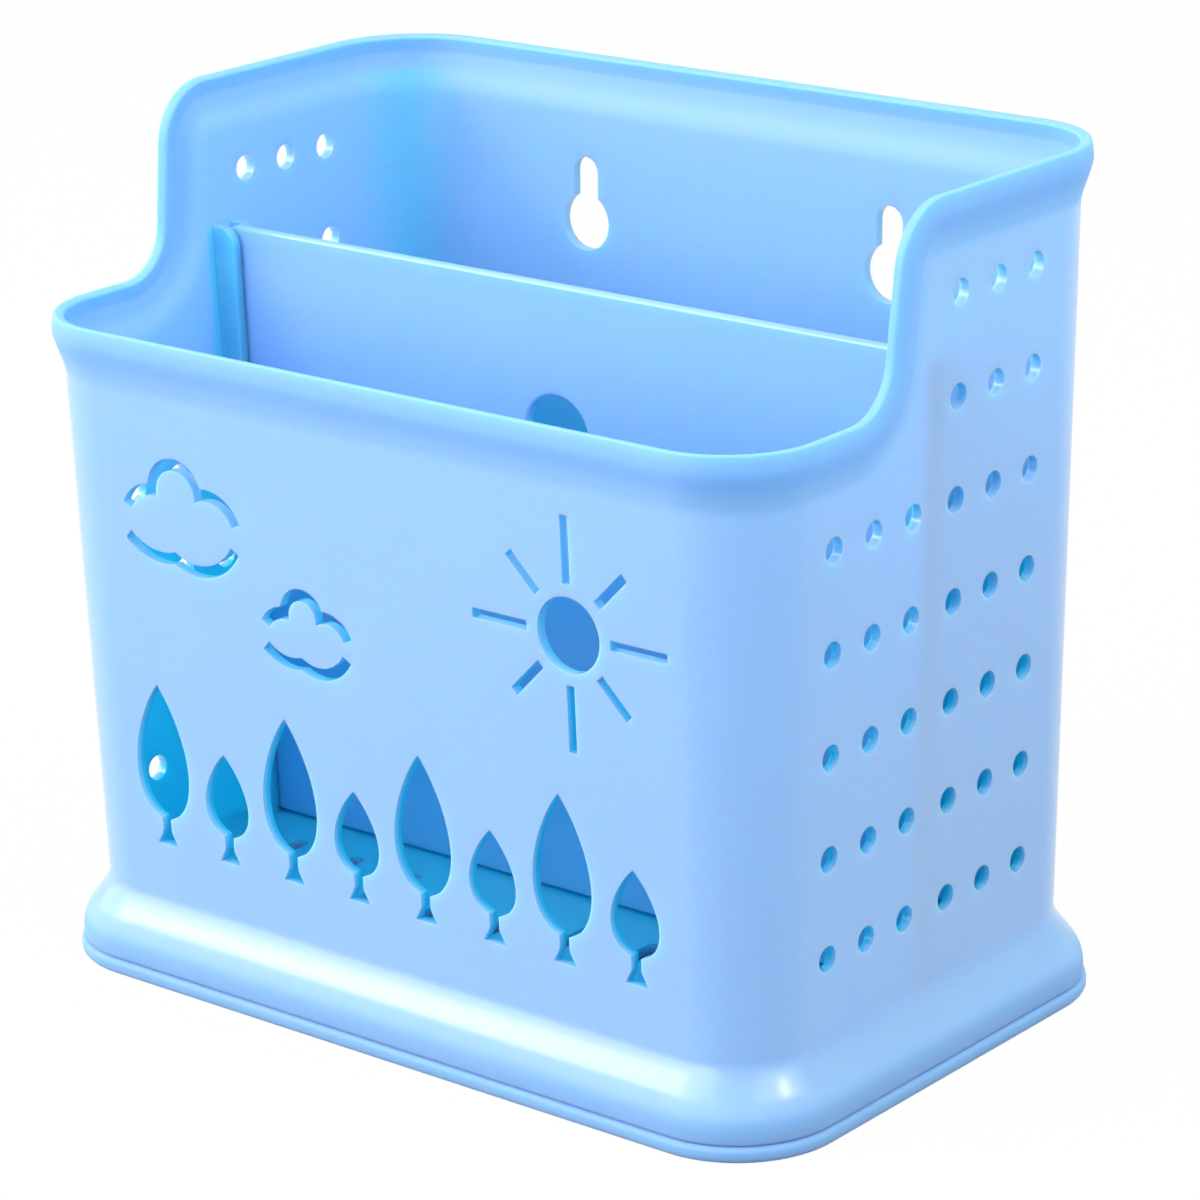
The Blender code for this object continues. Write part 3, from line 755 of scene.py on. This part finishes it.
def floor_slots(settings, plastic):
    """Two rows of slots with round ends through the floor."""
    sizes, gaps = settings.shell, settings.drains
    board = ShapeBoard("floor_slots", plastic, {
        **picked(gaps, "slot_count slot_pitch slot_width slot_length"),
        "row_spacing": sizes.depth / 2 - sizes.wall, "depth": 3 * sizes.floor})
    width, number = board["slot_width"], board["slot_count"]
    points = board.grid((number - 1) * board["slot_pitch"], board["row_spacing"],
                        number, 2)
    slot = board.shape("CurvePrimitiveQuadrilateral",
                       {"Width": width, "Height": board["slot_length"]})
    slot = board.shape("FilletCurve", {"Curve": slot, "Count": SLOT_FACETS,
                                       "Radius": width * ALMOST_HALF, "Limit Radius": True},
                       mode="POLY")
    slot = board.shape("FillCurve", {"Curve": slot}, mode="NGONS")
    middle = (0, settings.divider.offset / 2, sizes.crease_height - sizes.floor / 2)
    return board.grow(board.prism(board.stamped(points, slot)),
                      turn=Matrix.Translation(middle))


def leaf(board, height, width):
    """A pointed leaf on a trunk that widens towards its foot, as one flat face."""
    steps = board["leaf_steps"]
    from_tip = board.read("GeometryNodeInputIndex") - steps
    up = (1 - from_tip.math("ABSOLUTE") / steps) ** FOOT_CROWDING * height
    trunk, neck = board["trunk_height"], board["neck_width"]
    base, tip = board["leaf_base"], board["leaf_tip"]
    spread = (1 - up * 2 / trunk).math("MAXIMUM", 0.0)
    trunk_half = (neck + (board["foot_width"] - neck) * spread) / 2
    along = ((up - trunk) / (height - trunk)).math("MAXIMUM", 0.0)
    peak = base / (base + tip)
    fullest = peak ** base * (1 - peak) ** tip
    leaf_half = along ** base * (1 - along) ** tip / fullest * width / 2
    half = (trunk_half * (up < trunk * TRUNK_OVERLAP)).math("MAXIMUM", leaf_half)
    return board.shape("SetPosition", {
        "Geometry": board.disc(steps * 2 + 1, 1.0),
        "Position": board.vector(half * from_tip.math("SIGN") * -1, up)})


def tree_row(settings, plastic):
    """A row of trees, by turns tall and short."""
    drawn = settings.picture
    board = ShapeBoard("tree_row", plastic, {
        **picked(drawn, "tree_count tree_pitch tall_height tall_width short_height "
                        "short_width trunk_height neck_width foot_width leaf_base leaf_tip "
                        "leaf_steps"),
        "depth": 2 * OVERRUN})
    pitch, number = board["tree_pitch"], board["tree_count"]
    line = board.shape("MeshLine", {
        "Count": number, "Start Location": board.vector((1 - number) * pitch / 2),
        "Offset": board.vector(pitch)})
    kinds = [leaf(board, board[kind + "_height"], board[kind + "_width"])
             for kind in ("tall", "short")]
    stamps = board.joined(*(board.shape("GeometryToInstance", {"Geometry": kind})
                            for kind in kinds))
    turns = board.read("GeometryNodeInputIndex").math("MODULO", 2)
    trees = board.stamped(line, stamps, {"Pick Instance": True, "Instance Index": turns})
    return board.grow(board.prism(trees), turn=on_front(settings.shell, 0, drawn.tree_rise))


def sun(settings, plastic):
    """A disc and straight rays around it, by turns long and short."""
    drawn = settings.picture
    board = ShapeBoard("sun", plastic, {
        **picked(drawn, "sun_radius ray_count ray_width ray_start ray_long ray_short"),
        "depth": 2 * OVERRUN})
    start, number = board["ray_start"], board["ray_count"]
    places = board.shape("MeshCircle", {"Vertices": number, "Radius": start})
    ray = board.shape("Transform", {
        "Geometry": board.grid(1.0, board["ray_width"], 2, 2),
        "Translation": (0.5, 0, 0)})
    index = board.read("GeometryNodeInputIndex")
    long_ray, short_ray = board["ray_long"] - start, board["ray_short"] - start
    reach = long_ray + (short_ray - long_ray) * index.math("MODULO", 2)
    rays = board.stamped(places, ray, {
        "Rotation": board.vector(z=index * (4 * QUARTER) / number),
        "Scale": board.vector(reach, 1, 1)})
    disc = board.disc(SUN_FACETS, board["sun_radius"])
    return board.grow(board.prism(board.joined(disc, rays)),
                      turn=on_front(settings.shell, drawn.sun_x, drawn.sun_rise))


# Circles of a cloud as shares of its width: across, up, radius
CLOUD_TOP = ((-0.251, -0.137, 0.273), (-0.049, 0.131, 0.208), (0.224, -0.093, 0.273))
CLOUD_BASE = ((-0.208, -0.109, 0.426), (0.109, -0.049, 0.399))
CLOUD_TOP_SWEEP = (math.radians(151), math.radians(24))
CLOUD_BASE_SWEEP = (math.radians(133), math.radians(31))


def crossing(first, second):
    """The upper point where two circles (centre, radius) cross, or the one between them."""
    (one, one_radius), (two, two_radius) = first, second
    gap = (two - one).length
    along = (gap * gap + one_radius ** 2 - two_radius ** 2) / (2 * gap)
    height = math.sqrt(max(0.0, one_radius ** 2 - along ** 2))
    ahead = (two - one) / gap
    return one + ahead * along + Vector((-ahead.y, ahead.x)) * height


def bearing(offset):
    """Angle of an offset, from straight down over the top and back to straight down."""
    turn = math.atan2(offset.y, offset.x)
    return turn + 4 * QUARTER if turn < -QUARTER else turn


def bump_path(bumps, sweep):
    """Path over the tops of overlapping circles, from left to right."""
    meets = [crossing(a, b) for a, b in zip(bumps, bumps[1:])]
    path = []
    for index, (centre, radius) in enumerate(bumps):
        start, end = sweep
        if index > 0:
            start = bearing(meets[index - 1] - centre)
        if index < len(meets):
            end = bearing(meets[index] - centre)
        steps = max(CLOUD_LEAST_FACETS, round(abs(start - end) / CLOUD_FACET))
        path += arc(centre, radius, start, end, steps)[index > 0:]
    return path


def cloud_paths(width, stroke):
    """Outlines of a cloud's upper and lower stroke round its own centre."""
    outlines = []
    for shares, sweep, flip in ((CLOUD_TOP, CLOUD_TOP_SWEEP, 1),
                                (CLOUD_BASE, CLOUD_BASE_SWEEP, -1)):
        edges = []
        for side in (1, -1):
            bumps = [(Vector((x, y)) * width, radius * width + side * stroke / 2)
                     for x, y, radius in shares]
            edges.append(bump_path(bumps, sweep))
        outlines.append([Vector((x, flip * y)) for x, y in edges[0] + edges[1][::-1]])
    return outlines


def clouds(settings):
    """The four strokes of the two clouds."""
    drawn = settings.picture
    return [slab("cloud_stroke", outline, -OVERRUN, OVERRUN, on_front(settings.shell, x, rise))
            for x, rise, width in (
                (drawn.big_cloud_x, drawn.big_cloud_rise, drawn.big_cloud),
                (drawn.small_cloud_x, drawn.small_cloud_rise, drawn.small_cloud))
            for outline in cloud_paths(width, drawn.stroke)]


def keyholes(settings):
    """Round openings in the back with a narrow slot rising from each."""
    sizes, gaps = settings.shell, settings.drains
    half = gaps.keyhole_slot / 2
    neck = math.asin(half / gaps.keyhole_radius)
    outline = arc((0, 0), gaps.keyhole_radius, QUARTER + neck, 5 * QUARTER - neck,
                  KEYHOLE_FACETS)
    outline += arc((0, gaps.keyhole_rise - half), half, 0, math.pi, KEYHOLE_TOP_FACETS)
    height = sizes.back_height - gaps.keyhole_drop
    return [slab("keyhole", outline, -OVERRUN, OVERRUN,
                 Matrix.Translation((side * gaps.keyhole_spread / 2, sizes.depth / 2, height))
                 @ UPRIGHT) for side in (1, -1)]


# Divider and tray

def divider_plate(settings):
    """The lift-out plate: it widens with the walls beside it and has a finger hole."""
    sizes, plate = settings.shell, settings.divider
    low = sizes.width / 2 - sizes.wall - plate.clearance
    bottom, top = sizes.crease_height + plate.clearance, plate.height
    foot = low + sizes.draft * plate.clearance
    head = low + sizes.draft * (top - sizes.crease_height)
    radius = plate.corner_radius
    right = [Vector((foot, bottom))]
    right += arc((head - radius, top - radius), radius, 0, QUARTER, PLATE_CORNER_FACETS)
    outline = right + [Vector((-x, z)) for x, z in reversed(right)]
    front = plate.thickness / 2 - plate.offset
    item = slab("divider_panel", outline, front, front - plate.thickness, UPRIGHT)
    round_hole = arc((0, 0), plate.finger_hole / 2, 0, 4 * QUARTER, FINGER_FACETS)[:-1]
    pin = slab("finger_pin", round_hole, -OVERRUN, OVERRUN,
               Matrix.Translation((0, plate.offset, top - plate.finger_drop)) @ UPRIGHT)
    boolean(item, [pin], "DIFFERENCE")
    bevel(item, plate.edge_round, PLATE_ROUND_FACETS)
    return item


def tray_profile(settings):
    """Half section of the tray as (offset from the box's outline, height)."""
    sizes, tray = settings.shell, settings.tray
    steps, edge, fillet = tray.round_steps, tray.edge_round, tray.fillet
    rim = sizes.skirt_flare + tray.flange_lip
    plug = -sizes.wall - tray.clearance
    inner = plug - tray.wall
    top = sizes.crease_height - sizes.floor - tray.seat_gap
    lip = tray.wall / 2
    profile = [Vector((plug - 2 * fillet, 0.0))]
    profile += arc((rim - edge, edge), edge, -QUARTER, 0, steps)
    profile += arc((rim - edge, tray.flange - edge), edge, 0, QUARTER, steps)
    profile += arc((plug + fillet, tray.flange + fillet), fillet, 3 * QUARTER, 2 * QUARTER, steps)
    profile += arc((plug - lip, top - lip), lip, 0, 2 * QUARTER, 2 * steps)
    profile += arc((inner - fillet, tray.floor + fillet), fillet, 0, -QUARTER, steps)
    return profile


# Corners 0 to 3 are the front right, back right, back left and front left one
MIDDLE_CORNER = 1.5


def catch_tray(settings, plastic):
    """The tray as its half section swept round the box's outline and closed in the middle."""
    sizes = settings.shell
    profile = tray_profile(settings)
    shape = bmesh.new()
    for offset, height in profile:
        shape.verts.new((offset, 0, height))
    board = ShapeBoard("catch_tray", plastic, {
        **picked(sizes, "corner_radius corner_steps"), "rows": len(profile),
        "half_width": sizes.width / 2, "half_depth": sizes.depth / 2})
    section = board.inlet.outputs["Geometry"]
    rows, radius = board["rows"], board["corner_radius"]
    points = board["corner_steps"] + 1
    around = points * 4

    def placed(geometry, row, station):
        """Moves a shape's points to a row of the section at a station of the outline."""
        offset, _, height = board.split(board.read("GeometryNodeSampleIndex", {
            "Geometry": section, "Value": board.read("GeometryNodeInputPosition"),
            "Index": row}, data_type="FLOAT_VECTOR"))
        station = station.math("MODULO", around)
        corner = (station / points).math("FLOOR")
        turn = (corner - 1 + (station - corner * points) / (points - 1)) * QUARTER
        side = 1 - (corner > MIDDLE_CORNER) * 2
        end = 1 - ((corner - MIDDLE_CORNER).math("ABSOLUTE") > 1.0) * 2
        x = side * (board["half_width"] - radius) + (radius + offset) * turn.math("COSINE")
        y = end * (board["half_depth"] - radius) + (radius + offset) * turn.math("SINE")
        return board.shape("SetPosition",
                           {"Geometry": geometry, "Position": board.vector(x, y, height)})

    column, line, _ = board.split(board.read("GeometryNodeInputPosition"))
    sweep = placed(board.grid(rows - 1, around, rows, around + 1),
                   (column + (rows - 1) / 2).math("ROUND"), (line + around / 2).math("ROUND"))
    base, top = (placed(board.disc(around, 1.0), row, board.read("GeometryNodeInputIndex"))
                 for row in (0, rows - 1))
    base = board.shape("FlipFaces", {"Mesh": base})
    tray = board.grow(board.merged(sweep, base, top), mesh_from("catch_tray", shape))
    # The whole tray takes the matt roughness and the darker edge colour, which is painted shade
    dulled = tray.data.attributes.new("dulled", "FLOAT", "POINT")
    dulled.data.foreach_set("value", [TRAY_DULL_AND_SHADE] * len(tray.data.vertices))
    return tray


# Plastic

# Noises in it: scale, detail and roughness
CLOUDINESS = (38.0, 3.0, 0.55)
SPECKS = (1500.0, 1.0, 0.5)
SMEARS = (110.0, 4.0, 0.6)
RIPPLE = (900.0, 2.0, 0.45)
WAVES = (46.0, 1.0, 0.4)
# Share of the deep colour: on the whole, and how much the noises change it
DYE_MEAN = 0.45
DYE_CLOUDINESS = 1.3
DYE_SPECKS = 0.5
# Share of the haze that the specks add to that of the smears
SPECK_HAZE = 1 / 3
# Dulling at which the gloss starts to go and is gone, and the same for the darker edge colour, which
# is painted shade
MATT_FADE = (0.0, 0.27)
EDGE_SHADE_FADE = (0.4, 0.8)
# Heights at which the painted inner shade starts, going down, and is full; and its shares of painted
# shade higher up, in the box's corners and at the guide ribs
INNER_SHADE_FADE = (0.094, 0.064)
CORNER_SHADE = 0.6
RIB_SHADE = 0.6
# Where the painted inner shade starts and is full: outside the wall's middle, above the floor's upper
# face, beyond the guide ribs' reach, beside the divider's middle and above its upper edge
WALL_FADE = (0.0003, -0.0003)
FLOOR_FADE = (-0.0012, 0.0)
RIB_FADE = (-0.0010, 0.0005)
RIB_SIDE_FADE = (0.0055, 0.0035)
RIB_TOP_FADE = (0.0010, -0.0020)
# Sockets of a Mix node that mixes colours
FIRST_COLOUR, SECOND_COLOUR, MIXED_COLOUR = 6, 7, 2


def noise(board, point, scale, detail, rough):
    """Noise round zero."""
    return board.read("ShaderNodeTexNoise", {
        "Vector": point, "Scale": scale, "Detail": detail, "Roughness": rough}) - 0.5


def ramp(board, value, fade, base=0.0):
    """0 up to the fade's start, 1 from its end on, with a smooth rise between them."""
    start, end = fade
    return board.read("ShaderNodeMapRange", {
        "Value": value, "From Min": base + start, "From Max": base + end},
        interpolation_type="SMOOTHSTEP")


def blend(board, factor, first, second):
    """Mix of a colour so far and a plain one."""
    return board.node("ShaderNodeMix", {
        "Factor": factor, FIRST_COLOUR: first, SECOND_COLOUR: (*second, 1)},
        data_type="RGBA").outputs[MIXED_COLOUR]


def inner_shade_mask(board, point, settings):
    """Share of painted shade: 1 down inside the box and 0 on its outer faces, under its floor and
    near its rim, with part of it higher up in the inner corners and beside the guide ribs.
    """
    shell, plate = settings.shell, settings.divider
    x, y, z = board.split(point)
    radius = shell.corner_radius
    across = (x.math("ABSOLUTE") - (shell.width / 2 - radius)).math("MAXIMUM", 0.0)
    along = (y.math("ABSOLUTE") - (shell.depth / 2 - radius)).math("MAXIMUM", 0.0)
    spread = (z - shell.crease_height) * shell.draft + radius - shell.wall / 2
    apart = (across * across + along * along).math("SQRT") - spread
    # Painted shade in the box's inner corners and beside the guide ribs
    corner_shade = across.math("MINIMUM", along) * (CORNER_SHADE / radius)
    rib_shade = (ramp(board, across - spread, RIB_FADE, -shell.wall / 2 - shell.rib_reach)
              * ramp(board, (y - plate.offset).math("ABSOLUTE"), RIB_SIDE_FADE)
              * ramp(board, z, RIB_TOP_FADE, plate.height) * RIB_SHADE)
    return (ramp(board, apart, WALL_FADE)
            * ramp(board, z, INNER_SHADE_FADE).math("MAXIMUM", corner_shade.math("MAXIMUM", rib_shade))
            * ramp(board, z, FLOOR_FADE, shell.crease_height))


def blue_plastic(name, settings, tone=1.0):
    """Glossy dyed polypropylene: slow waves, a fine ripple, a little haze and painted shade.

    The shade share is how much of the painted inner shade the piece takes down inside the box.
    """
    finish = settings.plastic
    material = bpy.data.materials.new(name)
    board = shader_board(material)
    point = board.node("ShaderNodeTexCoord").outputs["Object"]
    cloudiness, specks, smears, ripple, waves = (
        noise(board, point, *kind) for kind in (CLOUDINESS, SPECKS, SMEARS, RIPPLE, WAVES))
    dye = cloudiness * DYE_CLOUDINESS + specks * DYE_SPECKS + DYE_MEAN
    dulled = board.read("ShaderNodeAttribute", output="Fac", attribute_name="dulled")
    matt = ramp(board, dulled, MATT_FADE)
    dyed = blend(board, dye.math("MAXIMUM", 0.0).math("MINIMUM", 1.0), (*finish.tint, 1),
                 finish.deep)
    # Painted shade: the darker edge colour along the rim band and the skirt's foot
    edge_shaded = blend(board, ramp(board, dulled, EDGE_SHADE_FADE), dyed, finish.edge)
    # Painted shade: the teal inner colour down inside the box
    inner_shaded = blend(board, inner_shade_mask(board, point, settings) * tone, edge_shaded, finish.inner)
    bump = board.node("ShaderNodeBump", {"Strength": 1.0, "Distance": 1.0,
                                         "Height": ripple * finish.peel + waves * finish.sink})
    rough = (smears + specks * SPECK_HAZE) * finish.haze + matt * finish.matt + finish.gloss
    shader = board.node("ShaderNodeBsdfPrincipled", {
        "Base Color": inner_shaded, "Roughness": rough, "IOR": finish.index,
        "Subsurface Weight": finish.milk, "Subsurface Radius": finish.spread,
        "Subsurface Scale": finish.reach, "Coat Weight": (1 - matt) * finish.skin,
        "Coat Roughness": finish.skin_rough, "Coat IOR": finish.skin_index,
        "Normal": bump.outputs[0]})
    board.node("ShaderNodeOutputMaterial", {"Surface": shader.outputs[0]})
    material.diffuse_color = (*finish.tint, 1)
    return material


# Operators

class HOLDER_OT_shell(bpy.types.Operator):
    """Mould the box and pierce its picture, drain holes, floor slots and keyholes"""

    bl_idname = "holder.mould_shell"
    bl_label = "Mould shell"

    def execute(self, context):
        settings = context.scene.holder
        plastic = blue_plastic("holder_plastic", settings)
        shell = blank_shell(settings)
        openings = [drain_holes(settings, plastic, rear) for rear in (False, True)]
        openings += [floor_slots(settings, plastic), tree_row(settings, plastic),
                     sun(settings, plastic)]
        openings += clouds(settings) + keyholes(settings)
        boolean(shell, openings, "DIFFERENCE")
        finish_piece(shell, "holder_body", "holder", plastic)
        return {"FINISHED"}


class HOLDER_OT_divider(bpy.types.Operator):
    """Make the divider that lifts out between the two compartments"""

    bl_idname = "holder.cut_divider"
    bl_label = "Cut divider"

    def execute(self, context):
        settings = context.scene.holder
        plate = divider_plate(settings)
        plastic = blue_plastic("divider_plastic", settings, settings.divider.tone)
        finish_piece(plate, "divider", "divider_plate", plastic)
        return {"FINISHED"}


class HOLDER_OT_tray(bpy.types.Operator):
    """Make the drip tray that plugs into the skirt from below"""

    bl_idname = "holder.mould_tray"
    bl_label = "Mould tray"

    def execute(self, context):
        settings = context.scene.holder
        plastic = blue_plastic("tray_plastic", settings)
        tray = catch_tray(settings, plastic)
        finish_piece(tray, "drip_tray", "tray", plastic)
        return {"FINISHED"}


# Lamps, by the setting that says their power: direction, distance, width and height
LAMPS = {
    "window": ((-0.92, -0.30, 0.30), 1.3, (0.90, 0.80)),
    "front": ((-0.36, -0.82, 0.44), 1.3, (1.50, 1.00)),
    "lamp": ((0.80, 0.05, 0.60), 1.1, (1.00, 0.80)),
    "top": ((0.10, -0.10, 1.00), 1.0, (0.80, 0.80)),
    "strip": ((-0.64, -0.575, 0.51), 1.2, (0.48, 0.12)),
    "spark": ((0.79, 0.12, 0.60), 1.0, (0.08, 0.08)),
}
WHITE = (1.0, 1.0, 1.0, 1.0)
FLOOR_RADIUS = 6.0
FLOOR_FACETS = 96
SENSOR_WIDTH = 36.0
CLIP_START = 0.01


def shown_rays(board):
    """1 where a ray comes from the camera, a reflection or a clear piece, else 0."""
    path = board.node("ShaderNodeLightPath").outputs
    camera, glossy, clear = (Reading(board, path[name]) for name in (
        "Is Camera Ray", "Is Glossy Ray", "Is Transmission Ray"))
    return (camera + glossy + clear).math("MINIMUM", 1.0)


def end_mixed(board, kind, factor, first, second):
    """Ends a board with its output node and a mix of two shaders."""
    mixed = board.node("ShaderNodeMixShader", {
        0: factor, 1: first.outputs[0], 2: second.outputs[0]})
    board.node(kind, {"Surface": mixed.outputs[0]})


def area_light(name, watts, tint, target):
    """A soft box that shines at a target."""
    toward, distance, size = LAMPS[name]
    lamp = bpy.data.lights.new(name, "AREA")
    lamp.shape = "RECTANGLE"
    lamp.size, lamp.size_y = size
    lamp.energy = watts
    lamp.color = tint
    item = add_object(name, lamp)
    away = Vector(toward).normalized()
    item.location = target + away * distance
    item.rotation_euler = away.to_track_quat("Z", "Y").to_euler()


class HOLDER_OT_stage(bpy.types.Operator):
    """Set up the pale floor, the soft lights, the world and the camera"""

    bl_idname = "holder.set_stage"
    bl_label = "Set stage"

    def execute(self, context):
        scene = context.scene
        setup = scene.holder.stage
        scene.view_settings.view_transform = "Standard"
        self.floor(setup)
        self.world(scene, setup)
        low, high = CAD_BOX
        for name in LAMPS:
            area_light(name, getattr(setup, name), setup.warmth, (low + high) / 2)
        self.camera(scene, setup)
        return {"FINISHED"}

    def floor(self, setup):
        shape = bmesh.new()
        bmesh.ops.create_circle(shape, cap_ends=True, segments=FLOOR_FACETS,
                                radius=FLOOR_RADIUS)
        floor = add_object("floor", mesh_from("floor", shape))
        material = bpy.data.materials.new("pale_floor")
        board = shader_board(material)
        paint = board.node("ShaderNodeBsdfDiffuse", {"Color": (*setup.floor, 1)})
        glow = board.node("ShaderNodeEmission", {"Color": WHITE, "Strength": setup.white})
        end_mixed(board, "ShaderNodeOutputMaterial", shown_rays(board) * setup.glow,
                  paint, glow)
        floor.data.materials.append(material)

    def world(self, scene, setup):
        world = bpy.data.worlds.new("soft_sky")
        board = shader_board(world)
        soft = board.node("ShaderNodeBackground", {
            "Color": (*setup.coolness, 1), "Strength": setup.sky})
        white = board.node("ShaderNodeBackground", {"Color": WHITE, "Strength": 1.0})
        end_mixed(board, "ShaderNodeOutputWorld",
                  board.read("ShaderNodeLightPath", output="Is Camera Ray"), soft, white)
        scene.world = world

    def camera(self, scene, setup):
        lens = bpy.data.cameras.new("camera")
        lens.lens = setup.lens
        lens.sensor_width = SENSOR_WIDTH
        lens.clip_start = CLIP_START
        item = add_object("camera", lens)
        item.location = setup.spot
        item.rotation_euler = setup.aim
        scene.camera = item


class HOLDER_PT_panel(bpy.types.Panel):
    """Buttons for the holder's pieces"""

    bl_idname = "HOLDER_PT_panel"
    bl_label = "Chopstick holder"
    bl_space_type = "VIEW_3D"
    bl_region_type = "UI"
    bl_category = "Holder"

    def draw(self, context):
        column = self.layout.column(align=True)
        for operator in OPERATORS:
            column.operator(operator.bl_idname)


OPERATORS = (HOLDER_OT_shell, HOLDER_OT_divider, HOLDER_OT_tray, HOLDER_OT_stage)
CLASSES = (HOLDER_PG_shell, HOLDER_PG_picture, HOLDER_PG_drains, HOLDER_PG_divider,
           HOLDER_PG_tray, HOLDER_PG_plastic, HOLDER_PG_stage, HOLDER_PG_settings,
           *OPERATORS, HOLDER_PT_panel)


def register():
    for item in CLASSES:
        bpy.utils.register_class(item)
    bpy.types.Scene.holder = PointerProperty(type=HOLDER_PG_settings)


def unregister():
    del bpy.types.Scene.holder
    for item in reversed(CLASSES):
        bpy.utils.unregister_class(item)


def main():
    register()
    bpy.ops.holder.mould_shell()
    bpy.ops.holder.cut_divider()
    bpy.ops.holder.mould_tray()
    bpy.ops.holder.set_stage()


if __name__ == "__main__":
    main()
